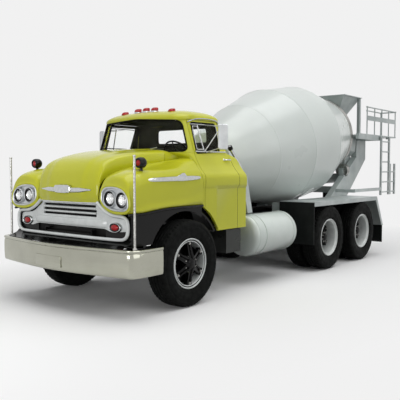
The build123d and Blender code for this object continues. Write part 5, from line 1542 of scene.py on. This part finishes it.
def build_cab_trim():
    """Rubber round the panes, and the chrome: drip rails, sill strips, vent bars, handles and wipers."""
    seals = [tube("screen_seal", [on_front(p.x, p.y, 0.001) for p in stepped(rounded(SCREEN, 0.07))], 0.010,
                  8, closed=True)]
    rear = [Vector((p.x, AXLE_Y + 1.163, p.y)) for p in stepped(rounded(REAR_WINDOW, 0.05))]
    seals.append(tube("rear_seal", rear, 0.010, 8, closed=True))
    bright = []
    for side, name in SIDES:
        ride, shine = [], []
        ride.append(tube("light_seal", [on_side(side, p.x, p.y, 0.000)
                                        for p in stepped(rounded(DOOR_GLASS, 0.035))],
                         0.008, 8, closed=True))
        shine.append(tube("vent_bar", [on_side(side, y, z, 0.004) for y,
                                       z in ((0.602, 1.886), (0.590, 2.04), (0.578, 2.215))],
                          0.0085, 10, 3))
        shine.append(tube("vent_frame", [on_side(side, y, z, 0.003) for y, z in
                                         ((0.590, 2.198), (0.50, 2.198), (0.478, 2.180), (0.468, 2.05),
                                          (0.466, 1.92),
                                          (0.480, 1.900), (0.595, 1.900))], 0.006, 8, 4))
        shine.append(tube("sill_strip", [on_side(side, y, 1.872, 0.006)
                                         for y in (0.415, 0.55, 0.70, 0.85, 1.00, 1.06)],
                          0.0105, 10, 3))
        shine.append(tube("glass_top", [on_side(side, y, z, 0.004) for y, z in
                                        ((0.430, 2.222), (0.55, 2.226), (0.75, 2.226), (0.93, 2.222),
                                         (0.972, 2.19),
                                         (0.958, 2.0), (0.945, 1.90))], 0.006, 8, 3))
        grip = [on_side(side, y, z, d) for y, z,
                d in ((0.975, 1.768, -0.004), (0.978, 1.768, 0.024), (0.995, 1.769, 0.034),
                                                       (1.045, 1.770, 0.034), (1.082, 1.768, 0.026))]
        shine.append(tube("handle", grip, 0.0105, 12, 4))
        shine.append(turned("handle_rose", [(0.0, 0.018), (0.006, 0.017), (0.012, 0.011), (0.014, 0.0)],
                            on_side(side, 0.975, 1.768, -0.003), (side, 0, 0.4), 24))
        dress(joined("door_seals_" + name, ride), RUBBER, "door_" + name, "trim_plastic")
        dress(joined("door_brightwork_" + name, shine), CHROME, "door_" + name, "bright_metal")
        bright.append(tube("drip_rail", [on_side(side, y, z, 0.007) for y, z in
                                         ((0.400, 2.246), (0.46, 2.270), (0.58, 2.296), (0.75, 2.306),
                                          (0.93, 2.300),
                                          (1.01, 2.284), (1.05, 2.255))], 0.008, 10, 4))
        pivot = Vector((side * 0.12, AXLE_Y + 0.222, 1.876))
        tip = on_front(side * 0.40, 1.925, 0.016)
        bright.append(tube("wiper_arm", [pivot, pivot.lerp(tip, 0.5) + Vector((0, -0.014, 0.004)), tip],
                           0.0055, 8, 4))
        bright.append(turned("wiper_pivot", [(0.0, 0.016), (0.016, 0.014), (0.022, 0.006), (0.022, 0.0)],
                             pivot, (0, -0.5, 1), 16))
        blade = [on_front(side * x, z, 0.010) for x,
                 z in ((0.16, 1.912), (0.30, 1.920), (0.45, 1.927), (0.60, 1.930),
                                                          (0.72, 1.928))]
        seals.append(tube("wiper_blade", blade, 0.006, 8, 3))
    dress(joined("cab_seals", seals), RUBBER, "chassis", "trim_plastic")
    dress(joined("cab_brightwork", bright), CHROME, "chassis", "bright_metal")


def shaded_inside(piece):
    """The faces that look into the cab take the dark inside colour: painted shade in place of the yellow
    enamel in the cab's shade.
    """
    piece.data.materials.append(INSIDE_SHADE)
    for face in piece.data.polygons:
        core = Vector((0, AXLE_Y + 0.75, min(max(face.center.z, 1.25), 2.05)))
        if face.normal.dot((face.center - core).normalized()) < -0.2:
            face.material_index = 1


def build_arches():
    """Black liners in the front wheel arches, with a rolled lip."""
    sheets = []
    for side in (1, -1):
        rows = []
        for x, out in ((0.615, 0.0), (0.80, 0.0), (1.004, 0.0), (1.012, 0.004), (1.014, 0.020),
                       (1.014, 0.05)):
            rows.append([at(side * x, (0.690 + out) * math.cos(a), AXLE_Z + (0.650 + out * 0.6) * math.sin(a))
                         for a in (math.radians(30 + 130 * k / 60) for k in range(61))])
        sheets.append(skin("arch_liner", rows))
        wall = [[at(side * 0.613, r * math.cos(a), AXLE_Z + r * 0.94 * math.sin(a))
                 for a in (math.radians(30 + 130 * k / 60) for k in range(61))] for r in (0.30, 0.50, 0.690)]
        sheets.append(skin("arch_wall", wall))
    dress(thick(joined("arch_liners", sheets), 0.003), BLACK, "chassis", "black_gloss")
    edge = [(ring[9][0] + 0.002, y, ring[9][1] - 0.016) for y, ring in FENDER_RINGS[1:]]
    rolls = [tube("skirt_roll", [at(side * x, y, z) for x, y, z in edge], 0.015, 12, 4) for side in (1, -1)]
    dress(joined("skirt_rolls", rolls), BLACK, "chassis", "black_gloss")


build_studio()
build_wheels()
build_hood()
for turn, label in SIDES:
    build_fender(turn, label)
build_cab()
build_cab_trim()
build_arches()
build_grille()
build_headlamps()
build_lamps()
build_bumper()
build_trim()
build_drum()
build_tanks()
build_mirrors()
build_cab_inside()
build_pipe()
coat_nodes()
